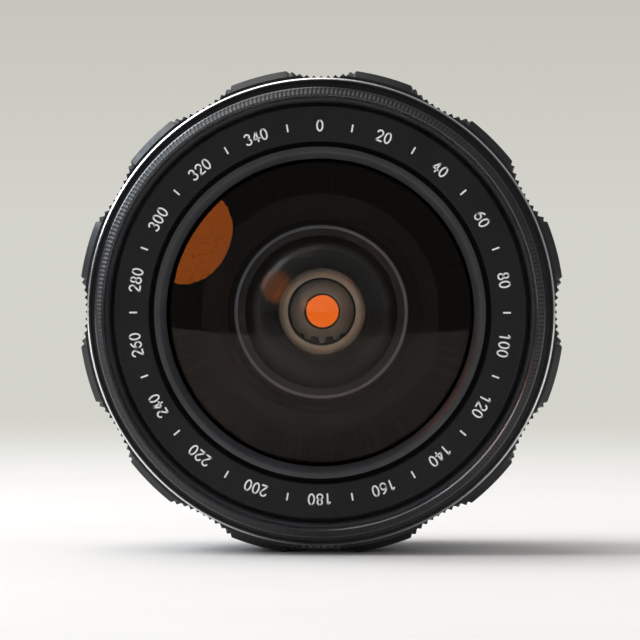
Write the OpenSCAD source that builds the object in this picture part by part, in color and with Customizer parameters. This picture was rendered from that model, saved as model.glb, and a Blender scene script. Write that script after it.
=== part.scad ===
// Fisheye lens with a screw mount, a scalloped focus ring and a turret of three built-in filters.
// Every piece is drawn on an upright optical axis, front up, from the seating face of the mount.
// The whole lens is then laid over: its axis runs along Y, its front faces -Y and +Z is up.
// Radii build up from the inside out and levels from the mount forwards, each from its neighbour.

/* [Mount] */
// Outer radius of the mount thread
thread_r = 21; // [19:0.1:23]
// Length of the mount thread behind the seating face
thread_len = 5.5; // [4:0.1:6]
// Wall of the thread tube
thread_wall = 2.5; // [1.5:0.1:3]
// How far the base tube stands outside the thread
tube_step = 3; // [2.5:0.1:4]
// Wall of the base tube, on which the aperture ring turns
base_tube_wall = 2; // [1.6:0.1:2.4]
// How far the seating flange stands outside the base tube
flange_wall = 4.5; // [4:0.1:5.5]
// Thickness of the seating flange
flange_t = 2.2; // [2:0.1:3]
// Thickness of the disc between the base tube and the focus sleeve
base_disc_t = 2; // [1.6:0.1:2.4]
// Radius of a mount screw
mount_screw_r = 0.6; // [0.4:0.05:0.7]
// Radius of a mount screw's head
mount_screw_head_r = 1.1; // [0.9:0.05:1.3]

/* [Control rings] */
// Wall of the aperture ring
aperture_wall = 6.6; // [5.5:0.1:7.5]
// Width of the aperture ring
aperture_len = 3.8; // [3.4:0.1:5]
// Depth of the aperture ring's finger grooves
aperture_groove = 0.45; // [0.2:0.05:0.8]
// Number of finger grooves round the aperture ring
aperture_grooves = 48; // [24:1:72]
// Turn of the aperture ring from wide open to fully stopped down, in degrees
aperture_turn = 55; // [40:1:60]
// Number of click stops over that turn
aperture_clicks = 11; // [6:1:13]
// Wall of the depth scale ring
depth_wall = 1.2; // [0.9:0.05:1.6]
// Width of the depth scale ring
depth_len = 2.2; // [1.8:0.1:3]
// Gap between neighbouring rings
ring_gap = 0.3; // [0.2:0.05:0.5]
// Angular length of the mode switch's slider, in degrees
switch_arc = 12; // [8:1:16]
// Turn of the mode switch, in degrees
switch_turn = 12; // [6:1:15]
// How far the mode switch's knob stands out of the flange
switch_knob = 1.9; // [1:0.1:2.5]

/* [Focus ring] */
// Wall of the grip under its teeth
grip_wall = 1.23; // [0.9:0.01:2]
// Number of lands round the grip
lands = 12; // [8:1:14]
// Depth of a valley between two lands
valley_depth = 1.1; // [0.7:0.05:1.3]
// Share of the pitch that a land takes
land_share = 0.48; // [0.35:0.01:0.6]
// Number of pointed teeth in a valley
valley_teeth = 9; // [4:1:12]
// Height of a tooth in a valley
tooth_h = 0.45; // [0.2:0.05:0.6]
// Chamfer at the ends of the grip
grip_chamfer = 0.6; // [0.3:0.05:0.8]
// Wall of the distance scale behind the grip
scale_wall = 0.98; // [0.8:0.01:1.4]
// Width of the distance scale
scale_len = 4.4; // [4:0.1:5]
// Wall from the focus ring's bore to the outside of the bright edge ring
edge_wall = 1.43; // [1.1:0.01:1.6]
// Width of the bright edge ring's face
edge_face = 0.6; // [0.4:0.05:0.9]
// Height of the bright edge ring
edge_len = 0.9; // [0.6:0.05:1.2]
// Turn of the focus ring from infinity to the near limit, in degrees
focus_turn = 100; // [80:1:108]
// Forward travel of the optical block over that turn
focus_travel = 1.7; // [1.2:0.05:2]
// Wall of the fixed sleeve inside the focus ring
sleeve_wall = 1.35; // [1.1:0.05:1.8]
// Wall of the cam ring that is fixed in the focus ring
cam_wall = 1.15; // [0.9:0.05:1.5]
// Radius of a cam follower
follower_r = 0.7; // [0.5:0.05:0.75]

/* [Optical block] */
// Height of the disc that slides inside the fixed sleeve
block_len = 2.2; // [2:0.1:2.6]
// Wall of the lens barrel's tube
barrel_wall = 1.8; // [1.5:0.1:2.2]
// How far the lens barrel reaches behind the seating face
barrel_back = 4.5; // [4:0.1:5]
// Radius of the cemented pair behind the second element
pair_r = 7.5; // [6.7:0.1:8.3]
// Wall of the cemented pair's cell
pair_wall = 1.2; // [1:0.05:1.6]
// Height of the cemented pair at its middle
pair_t = 4.2; // [3.8:0.05:4.5]
// Height of the cemented pair's front dome
pair_bulge = 1.46; // [1.2:0.02:1.8]
// Rim of the second element outside its hollow
second_rim = 3; // [2.6:0.1:3.6]
// Thickness of the second element at its middle
second_t = 1.6; // [1.4:0.05:2.2]
// Height of the second element's front dome
second_bulge = 2.73; // [2.3:0.01:3.1]
// Depth of the second element's hollow
second_hollow = 6.03; // [5.5:0.01:6.6]
// Rim of the front element outside its hollow
front_rim = 8.8; // [7.8:0.1:9.8]
// Thickness of the front element at its middle
front_t = 1.95; // [1.7:0.05:2.4]
// Height of the front element's dome inside its retaining ring
front_bulge = 5; // [4.4:0.05:5.6]
// Depth of the front element's hollow
front_hollow = 6.15; // [5.5:0.05:6.8]
// Overlap of the front retaining ring on the glass
front_lip = 0.8; // [0.5:0.05:1]
// Wall of the front retaining ring outside the glass
front_ring_wall = 0.9; // [0.7:0.05:1.2]
// Width of the dark groove between the retaining ring and the name ring
groove_w = 0.7; // [0.4:0.05:1]
// Wall of the front housing outside the retaining ring
housing_wall = 3.3; // [2.9:0.1:3.8]
// Thickness of the name ring
name_t = 1.6; // [1.2:0.1:2]
// Wall of the rear cell round the rear glasses
rear_wall = 2.08; // [1.6:0.02:2.6]

/* [Filter ring and turret] */
// Wall of the filter ring's head outside the name ring
head_wall = 2.7; // [2.3:0.1:3.1]
// Height of the filter ring's head
head_len = 3.9; // [3.4:0.1:4.4]
// How far the head starts behind the edge of the front glass
head_drop = 1.4; // [1.2:0.1:1.8]
// Gap between the focus ring and the filter ring's head
head_gap = 1.3; // [0.6:0.1:1.6]
// Width of the serrated bevel on the head
bevel_w = 1; // [0.6:0.05:1.2]
// Height of the serrated bevel on the head
bevel_h = 0.8; // [0.4:0.05:1.2]
// Room between the front housing and the filter ring's inner teeth
gear_room = 0.4; // [0.3:0.05:0.6]
// Wall of the filter ring's sleeve outside its inner teeth
filter_rim = 0.55; // [0.4:0.05:0.9]
// Number of teeth on the turret
turret_teeth = 34; // [32:1:36]
// Number of teeth inside the filter ring
filter_teeth = 56; // [55:1:58]
// Thickness of the turret
turret_t = 2.4; // [2.2:0.05:2.8]
// Radius of a filter glass
filter_r = 4.2; // [3.8:0.05:4.7]
// Thickness of a filter glass
filter_t = 1.4; // [1.1:0.05:1.6]
// Radius of the turret's axle
axle_r = 2; // [1.5:0.05:2.5]

/* [Iris] */
// Radius of the fixed stop in front of the blades
stop_r = 3.45; // [3.1:0.05:3.9]
// How far an open blade lies outside the fixed stop
blade_room = 0.95; // [0.7:0.05:1.1]
// Width of a blade's curved band
blade_w = 2.6; // [2.3:0.05:2.9]
// Distance of the pivots outside the bands
pivot_out = 0.8; // [0.7:0.02:1]
// Thickness of a blade
blade_t = 0.2; // [0.15:0.01:0.25]
// Gap between one blade's level and the next
blade_gap = 0.18; // [0.15:0.01:0.25]
// Radius of the opening when fully stopped down
small_stop_r = 0.8; // [0.6:0.05:1.4]
// Radius of a pivot post
pivot_r = 0.42; // [0.35:0.01:0.45]
// Radius of a blade's drive peg
peg_r = 0.4; // [0.3:0.01:0.45]
// Distance from a blade's pivot to its peg
peg_arm = 1.9; // [1.7:0.05:2.1]

/* [Stop-down pin] */
// Radius of the stop-down pin
pin_r = 0.9; // [0.7:0.05:1]
// How far the pin reaches behind the seating face
pin_back = 6.2; // [5.6:0.1:7]
// Wire radius of the springs
wire_r = 0.15; // [0.1:0.01:0.18]

/* [Fits] */
// Radial clearance of turning and sliding fits
run_fit = 0.05; // [0.03:0.01:0.08]
// Clearance of fixed pieces in their seats
seat_fit = 0.02; // [0.01:0.01:0.04]
// Room round a piece that swings past another
swing_gap = 0.4; // [0.3:0.05:0.5]

/* [Hidden] */
$fn = 96;
cut = 0.5;

function sag(curve, r) = curve - sqrt(curve * curve - r * r);
function curve_of(r, rise) = (r * r + rise * rise) / (2 * rise);
function polar(r, a) = [r * cos(a), r * sin(a)];

// Radii of the mount and of the aperture ring
mount_bore_r = thread_r - thread_wall;
base_tube_r = thread_r + tube_step;
base_bore_r = base_tube_r - base_tube_wall;
flange_r = base_tube_r + flange_wall;
aperture_r = base_tube_r + aperture_wall;

// Radii of the iris and of the barrel round it
blades = 5;
blade_in_r = stop_r + blade_room;
blade_out_r = blade_in_r + blade_w;
pivot_circle_r = blade_out_r + pivot_out;
iris_bore_r = pivot_circle_r + 2.98;
iris_wall = 0.8;
iris_r = iris_bore_r + iris_wall;
barrel_bore_r = iris_r + seat_fit;
barrel_r = barrel_bore_r + barrel_wall;
rear_r = iris_r - rear_wall;
rear_clear_r = rear_r - 0.9;

// Radii of the front glasses and of the rings round them
second_hollow_r = pair_r + pair_wall + 2 * swing_gap;
second_r = second_hollow_r + second_rim;
second_cell_r = second_r + 3.9;
second_ring_r = second_r + 1;
second_overlap = 0.9;
front_hollow_r = second_ring_r + 0.5;
front_r = front_hollow_r + front_rim;
front_clear_r = front_r - front_lip;
front_ring_r = front_r + front_ring_wall;
name_inner_r = front_ring_r + groove_w;
housing_r = front_ring_r + housing_wall;

// Turret gearing: the filter ring's inner teeth drive the turret round its own axle
addendum_share = 0.6;
dedendum_share = 0.75;
filter_pitch_r = (housing_r + gear_room) / (1 - 2 * addendum_share / filter_teeth);
tooth_module = 2 * filter_pitch_r / filter_teeth;
turret_pitch_r = tooth_module * turret_teeth / 2;
turret_off = filter_pitch_r - turret_pitch_r;
addendum = addendum_share * tooth_module;
dedendum = dedendum_share * tooth_module;
filter_count = 3;
gap_share_mouth = 0.76;
gap_share_foot = 0.46;

// Radii of the rings that run outside the front housing
filter_sleeve_r = filter_pitch_r + dedendum + filter_rim;
block_r = filter_sleeve_r + 0.3;
name_outer_r = filter_sleeve_r + 0.2;
head_r = name_outer_r + head_wall;
sleeve_in_r = block_r + run_fit;
sleeve_r = sleeve_in_r + sleeve_wall;
depth_r = sleeve_r + depth_wall;
cam_in_r = sleeve_r + run_fit;
cam_r = cam_in_r + cam_wall;
focus_bore_r = cam_r + seat_fit;
scale_r = focus_bore_r + scale_wall;
edge_r = focus_bore_r + edge_wall;
valley_root_r = focus_bore_r + grip_wall;
grip_r = valley_root_r + tooth_h + valley_depth;

// Levels of the aperture ring and of the fixed rings
aperture_z0 = flange_t + ring_gap;
aperture_z1 = aperture_z0 + aperture_len;
depth_z0 = aperture_z1 + ring_gap;
depth_z1 = depth_z0 + depth_len;
depth_bevel = 0.25;
base_top = depth_z0 + base_disc_t;
focus_z0 = depth_z1 + ring_gap;
grip_z0 = focus_z0 + scale_len;

// Levels of the iris, with the law that links its cam ring to the blades
block_z0 = base_top + swing_gap + 0.1;
block_z1 = block_z0 + block_len;
iris_z1 = block_z1 - swing_gap;
iris_front_t = 0.8;
cam_plate_t = 0.75;
cam_plate_gap = 0.3;
blade_step = blade_t + blade_gap;
blade_stack = (blades - 1) * blade_step + blade_t;
iris_len = cam_plate_gap + cam_plate_t + 2 * blade_gap + blade_stack + iris_front_t;
iris_z0 = iris_z1 - iris_len;
iris_cover_t = 0.4;
cam_plate_z0 = iris_z0 + cam_plate_gap;
blade_z0 = cam_plate_z0 + cam_plate_t + blade_gap;
blade_turn = 2 * asin((blade_in_r - small_stop_r) / (2 * pivot_circle_r));
blade_ratio = blade_turn / aperture_turn;
blade_arc = 130;
pivot_fit = 0.08;
peg_fit = 0.15;
lobe_r = 0.85;
peg_lobe_r = 0.7;

// Levels of the turret's chamber
web_t = 1.2;
turret_gap = 0.35;
chamber_z0 = iris_z1 + web_t;
turret_z0 = chamber_z0 + turret_gap;
turret_z1 = turret_z0 + turret_t;
chamber_z1 = turret_z1 + turret_gap;
filter_z0 = block_z1 + ring_gap;
filter_seat_z = turret_z0 + 0.4;
plate_t = 1.4;
plate_z1 = chamber_z1 + plate_t;
axle_z0 = chamber_z0 - 0.7;
axle_z1 = chamber_z1 + 1;

// Levels of the front glasses, each set on the one behind it
pair_z0 = plate_z1 + 0.4;
pair_split_z = pair_z0 + 1.4;
pair_vertex = pair_z0 + pair_t;
pair_edge_z = pair_vertex - pair_bulge;
pair_curve = curve_of(pair_r, pair_bulge);
pair_join_curve = curve_of(pair_r, pair_t - 2.33);
second_lip = 1;
second_back_z = plate_z1 + 3.27;
second_back_curve = curve_of(second_hollow_r, second_hollow);
second_vertex = second_back_z + second_hollow + second_t;
second_curve = curve_of(second_r, second_bulge);
second_edge_z = second_vertex - second_bulge;
second_ring_z0 = second_vertex - sag(second_curve, second_r - second_overlap) + run_fit;
second_ring_z1 = second_ring_z0 + 0.6;
front_back_curve = curve_of(front_hollow_r, front_hollow);
front_hollow_z = second_ring_z1 + 0.6 - sqrt(pow(front_back_curve, 2) - pow(second_ring_r, 2));
front_back_z = front_hollow_z + front_back_curve - front_hollow;
front_vertex = front_hollow_z + front_back_curve + front_t;
front_curve = curve_of(front_clear_r, front_bulge);
front_edge_z = front_vertex - front_bulge;
front_ring_z0 = front_edge_z - 1.4;

// Levels of the filter ring's head, the name ring and the front of the focus ring
head_z0 = front_edge_z - head_drop;
head_z1 = head_z0 + head_len;
web_z1 = head_z0 + 0.8;
name_z0 = web_z1 + ring_gap;
name_z1 = name_z0 + name_t;
edge_z1 = head_z0 - head_gap;
grip_z1 = edge_z1 - edge_len;
grip_len = grip_z1 - grip_z0;

// Focus sleeve, cam and followers
follower_z = block_z0 + block_len * 0.6;
follower_in_r = block_r - 3;
follower_angles = [30, 150, 270];
slot_fit = 0.1;
stop_ring_len = 1.4;
sleeve_z1 = grip_z1 - 2 * stop_ring_len;
cam_z1 = sleeve_z1 - ring_gap / 2;
lip_z0 = sleeve_z1 + stop_ring_len + ring_gap;

// Rear cell and its three cemented pairs
rear_cell_z1 = iris_z0 - iris_cover_t - 0.1;
rear_cell_z0 = -barrel_back + 0.1;
rear_lip = 0.8;
rear_ring_t = 0.9;
rear_space = 0.6;
rear_pair_t = (rear_cell_z1 - rear_cell_z0 - rear_ring_t - rear_lip - 2 * rear_space) / 3;
rear_bulge = curve_of(rear_r, rear_pair_t);
rear_join_rise = rear_pair_t - 0.9;

// Lever from the aperture ring to the iris cam ring's post
lever_angle = 20;
lever_z0 = aperture_z0 + 1.3;
lever_t = 1.2;
lever_w = 5;
lever_seat = 3;
post_r = 0.8;
post_circle_r = barrel_r + 2.6;
post_fit = 0.1;
post_z0 = flange_t + swing_gap;
arm_w = 2.4;

// Click stops of the aperture ring and detent of the turret
ball_r = 0.8;
ball_hole_r = ball_r + run_fit;
spring_r = 0.55;
click_circle_r = base_tube_r + 3;
click_angle = 180;
click_depth = 3;
detent_r = turret_off - filter_r - 0.2;
detent_depth = 4;

// Mount screws, set screws and the slot of the mode switch
mount_screw_angles = [100, 220, 340];
mount_screw_circle = base_tube_r - base_tube_wall / 2;
mount_screw_head = 0.8;
mount_screw_len = flange_t + 1.4;
set_screw_r = 0.6;
depth_screw_angles = [0, 120, 240];
depth_screw_z = (depth_z0 + depth_z1) / 2;
focus_screw_angles = [0, 120, 240];
focus_screw_z = (grip_z0 + grip_z1) / 2;
switch_angle = 160;
switch_depth = 3;
switch_floor = 0.7;

// Stop-down pin
pin_angle = 270;
pin_circle_r = (barrel_r + mount_bore_r) / 2;
pin_collar_r = pin_r + 0.5;
pin_collar_z0 = flange_t + ring_gap;
pin_collar_z1 = pin_collar_z0 + 0.8;

// Screws that join the lens barrel and the front housing
housing_screw_angles = [210, 255, 285, 330];
housing_screw_r = 0.6;
housing_screw_circle = housing_r - 1.3;
housing_head_r = 1;
housing_head_t = 0.9;
housing_screw_grip = 2.5;

// Straight-sided teeth round a circle, each a root, two tip corners and a root
function teeth_points(count, root_r, tip_r, root_share, tip_share, phase) = [
  for (k = [0:count - 1])
    let (pitch = 360 / count, a = k * pitch + phase)
    each [
      polar(root_r, a - pitch * root_share / 2),
      polar(tip_r, a - pitch * tip_share / 2),
      polar(tip_r, a + pitch * tip_share / 2),
      polar(root_r, a + pitch * root_share / 2)
    ]
];

// Radius of the hollow arc of a valley at an angle from its middle
function valley_r(half, a) =
  let (
    low = grip_r - valley_depth,
    chord = grip_r * sin(half),
    rise = grip_r * cos(half) - low,
    curve = (chord * chord + rise * rise) / (2 * rise),
    centre = low + curve
  )
  centre * cos(a) - sqrt(curve * curve - pow(centre * sin(a), 2));

// Outline of the grip: flat-topped lands with toothed valleys between them
function grip_points() =
  let (
    pitch = 360 / lands,
    land_half = pitch * land_share / 2,
    valley_half = pitch / 2 - land_half,
    steps = 4,
    corner = 0.5
  )
  [
    for (k = [0:lands - 1])
      let (mid = (k + 0.5) * pitch)
      each concat(
        [for (i = [0:steps]) polar(grip_r, mid + (land_half - corner) * (2 * i / steps - 1))],
        [
          for (i = [0:2 * valley_teeth])
            let (a = valley_half * (i / valley_teeth - 1))
            polar(valley_r(valley_half, a) - (i % 2 == 0 ? tooth_h : 0), mid + pitch / 2 + a)
        ]
      )
  ];

// Place of a blade's peg when the cam ring has turned by a, seen from the lens
function peg_place(a) =
  let (turned = blade_ratio * a)
  [pivot_circle_r + peg_arm * sin(turned), -peg_arm * cos(turned)];

// The same place seen from the cam ring, as radius and angle
function slot_place(a) =
  let (p = peg_place(a))
  [norm(p), atan2(p[1], p[0]) - a];

// Outline of the slot in the cam ring that a peg runs in
function slot_points() =
  let (
    half = peg_r + peg_fit,
    steps = 12,
    over = half / pivot_circle_r * 180 / PI,
    places = [for (i = [0:steps]) slot_place(aperture_turn * i / steps)],
    first = places[0],
    last = places[steps]
  )
  concat(
    [polar(first[0] + half, first[1] + over)],
    [for (p = places) polar(p[0] + half, p[1])],
    [polar(last[0] + half, last[1] - over), polar(last[0] - half, last[1] - over)],
    [for (i = [steps:-1:0]) polar(places[i][0] - half, places[i][1])],
    [polar(first[0] - half, first[1] + over)]
  );

// Lays the upright lens over, front towards -Y
module lay() {
  rotate([90, 0, 0]) children();
}

module disc(r, z0, z1) {
  translate([0, 0, z0]) cylinder(r = r, h = z1 - z0);
}

module ring(r_in, r_out, z0, z1) {
  difference() {
    disc(r_out, z0, z1);
    disc(r_in, z0 - cut, z1 + cut);
  }
}

// Wedge from angle a0 to angle a1, used to cut arcs out of rings
module wedge(a0, a1, z0, z1) {
  reach = 3 * grip_r;
  translate([0, 0, z0])
    linear_extrude(height = z1 - z0)
      polygon(concat([[0, 0]], [for (i = [0:4]) polar(reach, a0 + (a1 - a0) * i / 4)]));
}

module arc_block(r_in, r_out, a0, a1, z0, z1) {
  intersection() {
    ring(r_in, r_out, z0, z1);
    wedge(a0, a1, z0 - cut, z1 + cut);
  }
}

// Cylinder that points outwards at an angle round the axis
module radial_pin(r, r0, r1, a, z) {
  rotate([0, 0, a]) translate([r0, 0, z]) rotate([0, 90, 0]) cylinder(r = r, h = r1 - r0, $fn = 32);
}

// Revolved outline given as [radius, height] points
module turned(points) {
  rotate_extrude() polygon(points);
}

module coil_spring(r, z0, z1, turns) {
  sides = 6;
  per_turn = 10;
  rings = turns * per_turn;
  rise = z1 - z0 - 2 * wire_r;
  points = [
    for (i = [0:rings])
      for (j = [0:sides - 1])
        let (
          a = 360 * i / per_turn,
          b = 360 * j / sides,
          here = r - wire_r + wire_r * cos(b)
        )
        [here * cos(a), here * sin(a), z0 + wire_r + rise * i / rings + wire_r * sin(b)]
  ];
  sides_faces = [
    for (i = [0:rings - 1])
      for (j = [0:sides - 1])
        let (
          p = i * sides + j,
          q = i * sides + (j + 1) % sides
        )
        each [[p, q, p + sides], [q, q + sides, p + sides]]
  ];
  start_face = [for (j = [1:sides - 2]) [0, j + 1, j]];
  end_face = [for (j = [1:sides - 2]) [rings * sides, rings * sides + j, rings * sides + j + 1]];
  polyhedron(points, concat(sides_faces, start_face, end_face));
}

// Helical slot through the cam ring; it climbs as it runs clockwise from the follower
module cam_slot(a_start) {
  steps = 28;
  half = follower_r + slot_fit;
  over = half / sleeve_r * 180 / PI;
  slope = focus_travel / focus_turn;
  points = [
    for (i = [0:steps])
      let (
        t = (focus_turn + 2 * over) * i / steps - over,
        z = follower_z + slope * t,
        a = a_start - t
      )
      each [
        [(cam_in_r - cut) * cos(a), (cam_in_r - cut) * sin(a), z - half],
        [(cam_r + cut) * cos(a), (cam_r + cut) * sin(a), z - half],
        [(cam_r + cut) * cos(a), (cam_r + cut) * sin(a), z + half],
        [(cam_in_r - cut) * cos(a), (cam_in_r - cut) * sin(a), z + half]
      ]
  ];
  side_faces = [
    for (i = [0:steps - 1])
      for (j = [0:3])
        let (
          p = 4 * i + j,
          q = 4 * i + (j + 1) % 4
        )
        each [[p, p + 4, q], [q, p + 4, q + 4]]
  ];
  last = 4 * steps;
  ends = [[0, 1, 2], [0, 2, 3], [last, last + 2, last + 1], [last, last + 3, last + 2]];
  polyhedron(points, concat(side_faces, ends));
}

// Fixed body

module mount_ring() {
  notch_half = switch_arc / 2 + swing_gap;
  color("#b9bbbd") lay() difference() {
    union() {
      disc(thread_r, -thread_len, flange_t);
      disc(flange_r, 0, flange_t);
    }
    disc(mount_bore_r, -thread_len - cut, flange_t + cut);
    arc_block(flange_r - switch_depth, flange_r + cut, switch_angle - notch_half,
      switch_angle + notch_half + switch_turn, switch_floor, flange_t + cut);
    for (a = mount_screw_angles) {
      rotate([0, 0, a]) translate([mount_screw_circle, 0, 0]) {
        disc(mount_screw_r + seat_fit, -cut, flange_t + cut, $fn = 32);
        disc(mount_screw_head_r + seat_fit, -cut, mount_screw_head, $fn = 32);
      }
    }
  }
}

module mount_screws() {
  recess = 0.1;
  color("#8d8f92") lay()
    for (a = mount_screw_angles)
      rotate([0, 0, a]) translate([mount_screw_circle, 0, 0]) {
        disc(mount_screw_r, recess, mount_screw_len, $fn = 32);
        disc(mount_screw_head_r, recess, mount_screw_head, $fn = 32);
      }
}

module base_barrel() {
  window_half = 12;
  tab_w = 5;
  tab_in_r = barrel_r + swing_gap * 2;
  dimple_r = 0.6;
  dimple_pitch = aperture_turn / (aperture_clicks - 1);
  color("#202124") lay() difference() {
    union() {
      ring(base_bore_r, base_tube_r, flange_t, depth_z0 + cut);
      ring(base_bore_r, sleeve_r, depth_z0, base_top);
      ring(sleeve_in_r, sleeve_r, base_top - cut, sleeve_z1);
      intersection() {
        ring(tab_in_r, base_tube_r - base_tube_wall / 2, depth_z0, base_top - cut);
        rotate([0, 0, pin_angle]) translate([0, -tab_w / 2, depth_z0]) cube([base_tube_r, tab_w, base_disc_t]);
      }
    }
    arc_block(tab_in_r, base_tube_r + cut, lever_angle - window_half, lever_angle + aperture_turn + window_half,
      lever_z0 - swing_gap, lever_z0 + lever_t + swing_gap);
    for (a = mount_screw_angles)
      rotate([0, 0, a]) translate([mount_screw_circle, 0, 0])
        disc(mount_screw_r + seat_fit, flange_t - cut, mount_screw_len + seat_fit, $fn = 32);
    for (k = [0:aperture_clicks - 1])
      rotate([0, 0, click_angle + k * dimple_pitch])
        translate([click_circle_r, 0, depth_z0]) sphere(r = dimple_r, $fn = 24);
    for (a = follower_angles) follower_slot(a);
    for (a = depth_screw_angles)
      radial_pin(set_screw_r + seat_fit, sleeve_in_r + sleeve_wall / 3, sleeve_r + cut, a, depth_screw_z);
  }
}

// Straight slot in the sleeve that keeps a follower, and so the optical block, from turning
module follower_slot(a) {
  half = follower_r + run_fit;
  radial_pin(half, sleeve_in_r - cut, sleeve_r + cut, a, follower_z);
  radial_pin(half, sleeve_in_r - cut, sleeve_r + cut, a, follower_z + focus_travel);
  rotate([0, 0, a]) translate([sleeve_in_r - cut, -half, follower_z])
    cube([sleeve_wall + 2 * cut, 2 * half, focus_travel]);
}

module guide_bush() {
  color("#b08d4a") lay() difference() {
    ring(barrel_r + run_fit, mount_bore_r - seat_fit, 0, flange_t);
    rotate([0, 0, pin_angle]) translate([pin_circle_r, 0, 0]) disc(pin_r + run_fit, -cut, flange_t + cut, $fn = 32);
  }
}

module depth_scale_ring() {
  color("#1e1f22") lay() difference() {
    turned([
      [sleeve_r + seat_fit, depth_z0], [depth_r - depth_bevel, depth_z0], [depth_r, depth_z0 + depth_bevel],
      [depth_r, depth_z1 - depth_bevel], [depth_r - depth_bevel, depth_z1], [sleeve_r + seat_fit, depth_z1]
    ]);
    for (a = depth_screw_angles) radial_pin(set_screw_r + seat_fit, sleeve_r, depth_r + cut, a, depth_screw_z);
  }
}

module depth_ring_screws() {
  sunk = 0.15;
  color("#77797c") lay()
    for (a = depth_screw_angles)
      radial_pin(set_screw_r, sleeve_in_r + sleeve_wall / 3 + seat_fit, depth_r - sunk, a, depth_screw_z);
}

module focus_stop_ring() {
  color("#9a9ca0") lay() ring(sleeve_in_r, cam_r - 2 * run_fit, sleeve_z1, sleeve_z1 + stop_ring_len);
}

module pin_spring() {
  color("#a9abae") lay() rotate([0, 0, pin_angle]) translate([pin_circle_r, 0, 0])
    coil_spring(pin_r + 3 * wire_r, pin_collar_z1, depth_z0, 4);
}

module stop_down_pin() {
  nose = 0.3;
  color("#c3c5c8") lay() rotate([0, 0, pin_angle]) translate([pin_circle_r, 0, 0]) {
    disc(pin_r, nose - pin_back, pin_collar_z1 + 0.4, $fn = 32);
    translate([0, 0, -pin_back]) cylinder(r1 = pin_r - nose, r2 = pin_r, h = nose, $fn = 32);
    disc(pin_collar_r, pin_collar_z0, pin_collar_z1, $fn = 32);
  }
}

module mode_switch() {
  floor_gap = 0.15;
  knob_half = switch_arc / 4;
  slider_z1 = flange_t - floor_gap;
  color("#c0c2c4") lay() {
    arc_block(flange_r - switch_depth + floor_gap, flange_r - floor_gap, switch_angle - switch_arc / 2,
      switch_angle + switch_arc / 2, switch_floor + floor_gap, slider_z1);
    arc_block(flange_r - switch_depth / 2, flange_r + switch_knob, switch_angle - knob_half,
      switch_angle + knob_half, switch_floor + floor_gap, slider_z1);
  }
}

// Aperture ring and its lever

module aperture_ring() {
  bore_r = base_tube_r + run_fit;
  bevel = 0.3;
  groove_r = 0.7;
  color("#1c1d20") lay() difference() {
    turned([
      [bore_r, aperture_z0], [aperture_r - bevel, aperture_z0], [aperture_r, aperture_z0 + bevel],
      [aperture_r, aperture_z1 - bevel], [aperture_r - bevel, aperture_z1], [bore_r, aperture_z1]
    ]);
    for (k = [0:aperture_grooves - 1])
      rotate([0, 0, (k + 0.5) * 360 / aperture_grooves])
        translate([aperture_r + groove_r - aperture_groove, 0, 0])
          disc(groove_r, aperture_z0 - cut, aperture_z0 + aperture_len / 2, $fn = 24);
    lever_blank(seat_fit);
    rotate([0, 0, click_angle]) translate([click_circle_r, 0, 0])
      disc(ball_hole_r, aperture_z1 - click_depth, aperture_z1 + cut, $fn = 32);
  }
}

module lever_blank(room) {
  rotate([0, 0, lever_angle]) translate([0, -lever_w / 2 - room, lever_z0 - room])
    cube([base_tube_r + lever_seat + room, lever_w + 2 * room, lever_t + 2 * room]);
}

module aperture_lever() {
  fork_in_r = barrel_r + 3 * swing_gap;
  slot_w = 2 * (post_r + post_fit);
  color("#8f9194") lay() difference() {
    lever_blank(0);
    disc(fork_in_r, lever_z0 - cut, lever_z0 + lever_t + cut);
    rotate([0, 0, lever_angle]) translate([0, -slot_w / 2, lever_z0 - cut])
      cube([post_circle_r, slot_w, lever_t + 2 * cut]);
    rotate([0, 0, lever_angle]) translate([post_circle_r, 0, 0])
      disc(slot_w / 2, lever_z0 - cut, lever_z0 + lever_t + cut, $fn = 32);
  }
}

module click_ball() {
  tip = 0.25;
  color("#d5d7d9") lay() rotate([0, 0, click_angle])
    translate([click_circle_r, 0, aperture_z1 + tip - ball_r]) sphere(r = ball_r, $fn = 32);
}

module click_spring() {
  color("#a9abae") lay() rotate([0, 0, click_angle]) translate([click_circle_r, 0, 0])
    coil_spring(spring_r, aperture_z1 - click_depth, aperture_z1 - 2 * ball_r + 0.2, 3);
}

// Focus ring

module focus_ring() {
  lip_r = filter_sleeve_r + 1.75 * swing_gap;
  color("#17181b") lay() difference() {
    union() {
      disc(scale_r, focus_z0, grip_z0 + cut);
      intersection() {
        translate([0, 0, grip_z0]) linear_extrude(height = grip_len) polygon(grip_points());
        turned([
          [0, grip_z0], [grip_r - grip_chamfer, grip_z0], [grip_r + cut, grip_z0 + grip_chamfer + cut],
          [grip_r + cut, grip_z1 - grip_chamfer - cut], [grip_r - grip_chamfer, grip_z1], [0, grip_z1]
        ]);
      }
      disc(edge_r - edge_face, grip_z1 - cut, grip_z1 + edge_len / 2);
    }
    disc(focus_bore_r, focus_z0 - cut, lip_z0);
    disc(lip_r, lip_z0 - cut, edge_z1 + cut);
    for (a = focus_screw_angles)
      radial_pin(set_screw_r + seat_fit, focus_bore_r - cut, grip_r + cut, a, focus_screw_z);
  }
}

module focus_edge_ring() {
  bevel = 0.3;
  color("#d0d1d3") lay() turned([
    [edge_r - edge_face + seat_fit, grip_z1], [edge_r, grip_z1], [edge_r, edge_z1 - bevel],
    [edge_r - bevel, edge_z1], [edge_r - edge_face + seat_fit, edge_z1]
  ]);
}

module focus_cam_ring() {
  color("#b3924f") lay() difference() {
    ring(cam_in_r, cam_r, focus_z0, cam_z1);
    for (a = follower_angles) cam_slot(a);
    for (a = focus_screw_angles)
      radial_pin(set_screw_r + seat_fit, cam_in_r + cam_wall / 3, cam_r + cut, a, focus_screw_z);
  }
}

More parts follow.
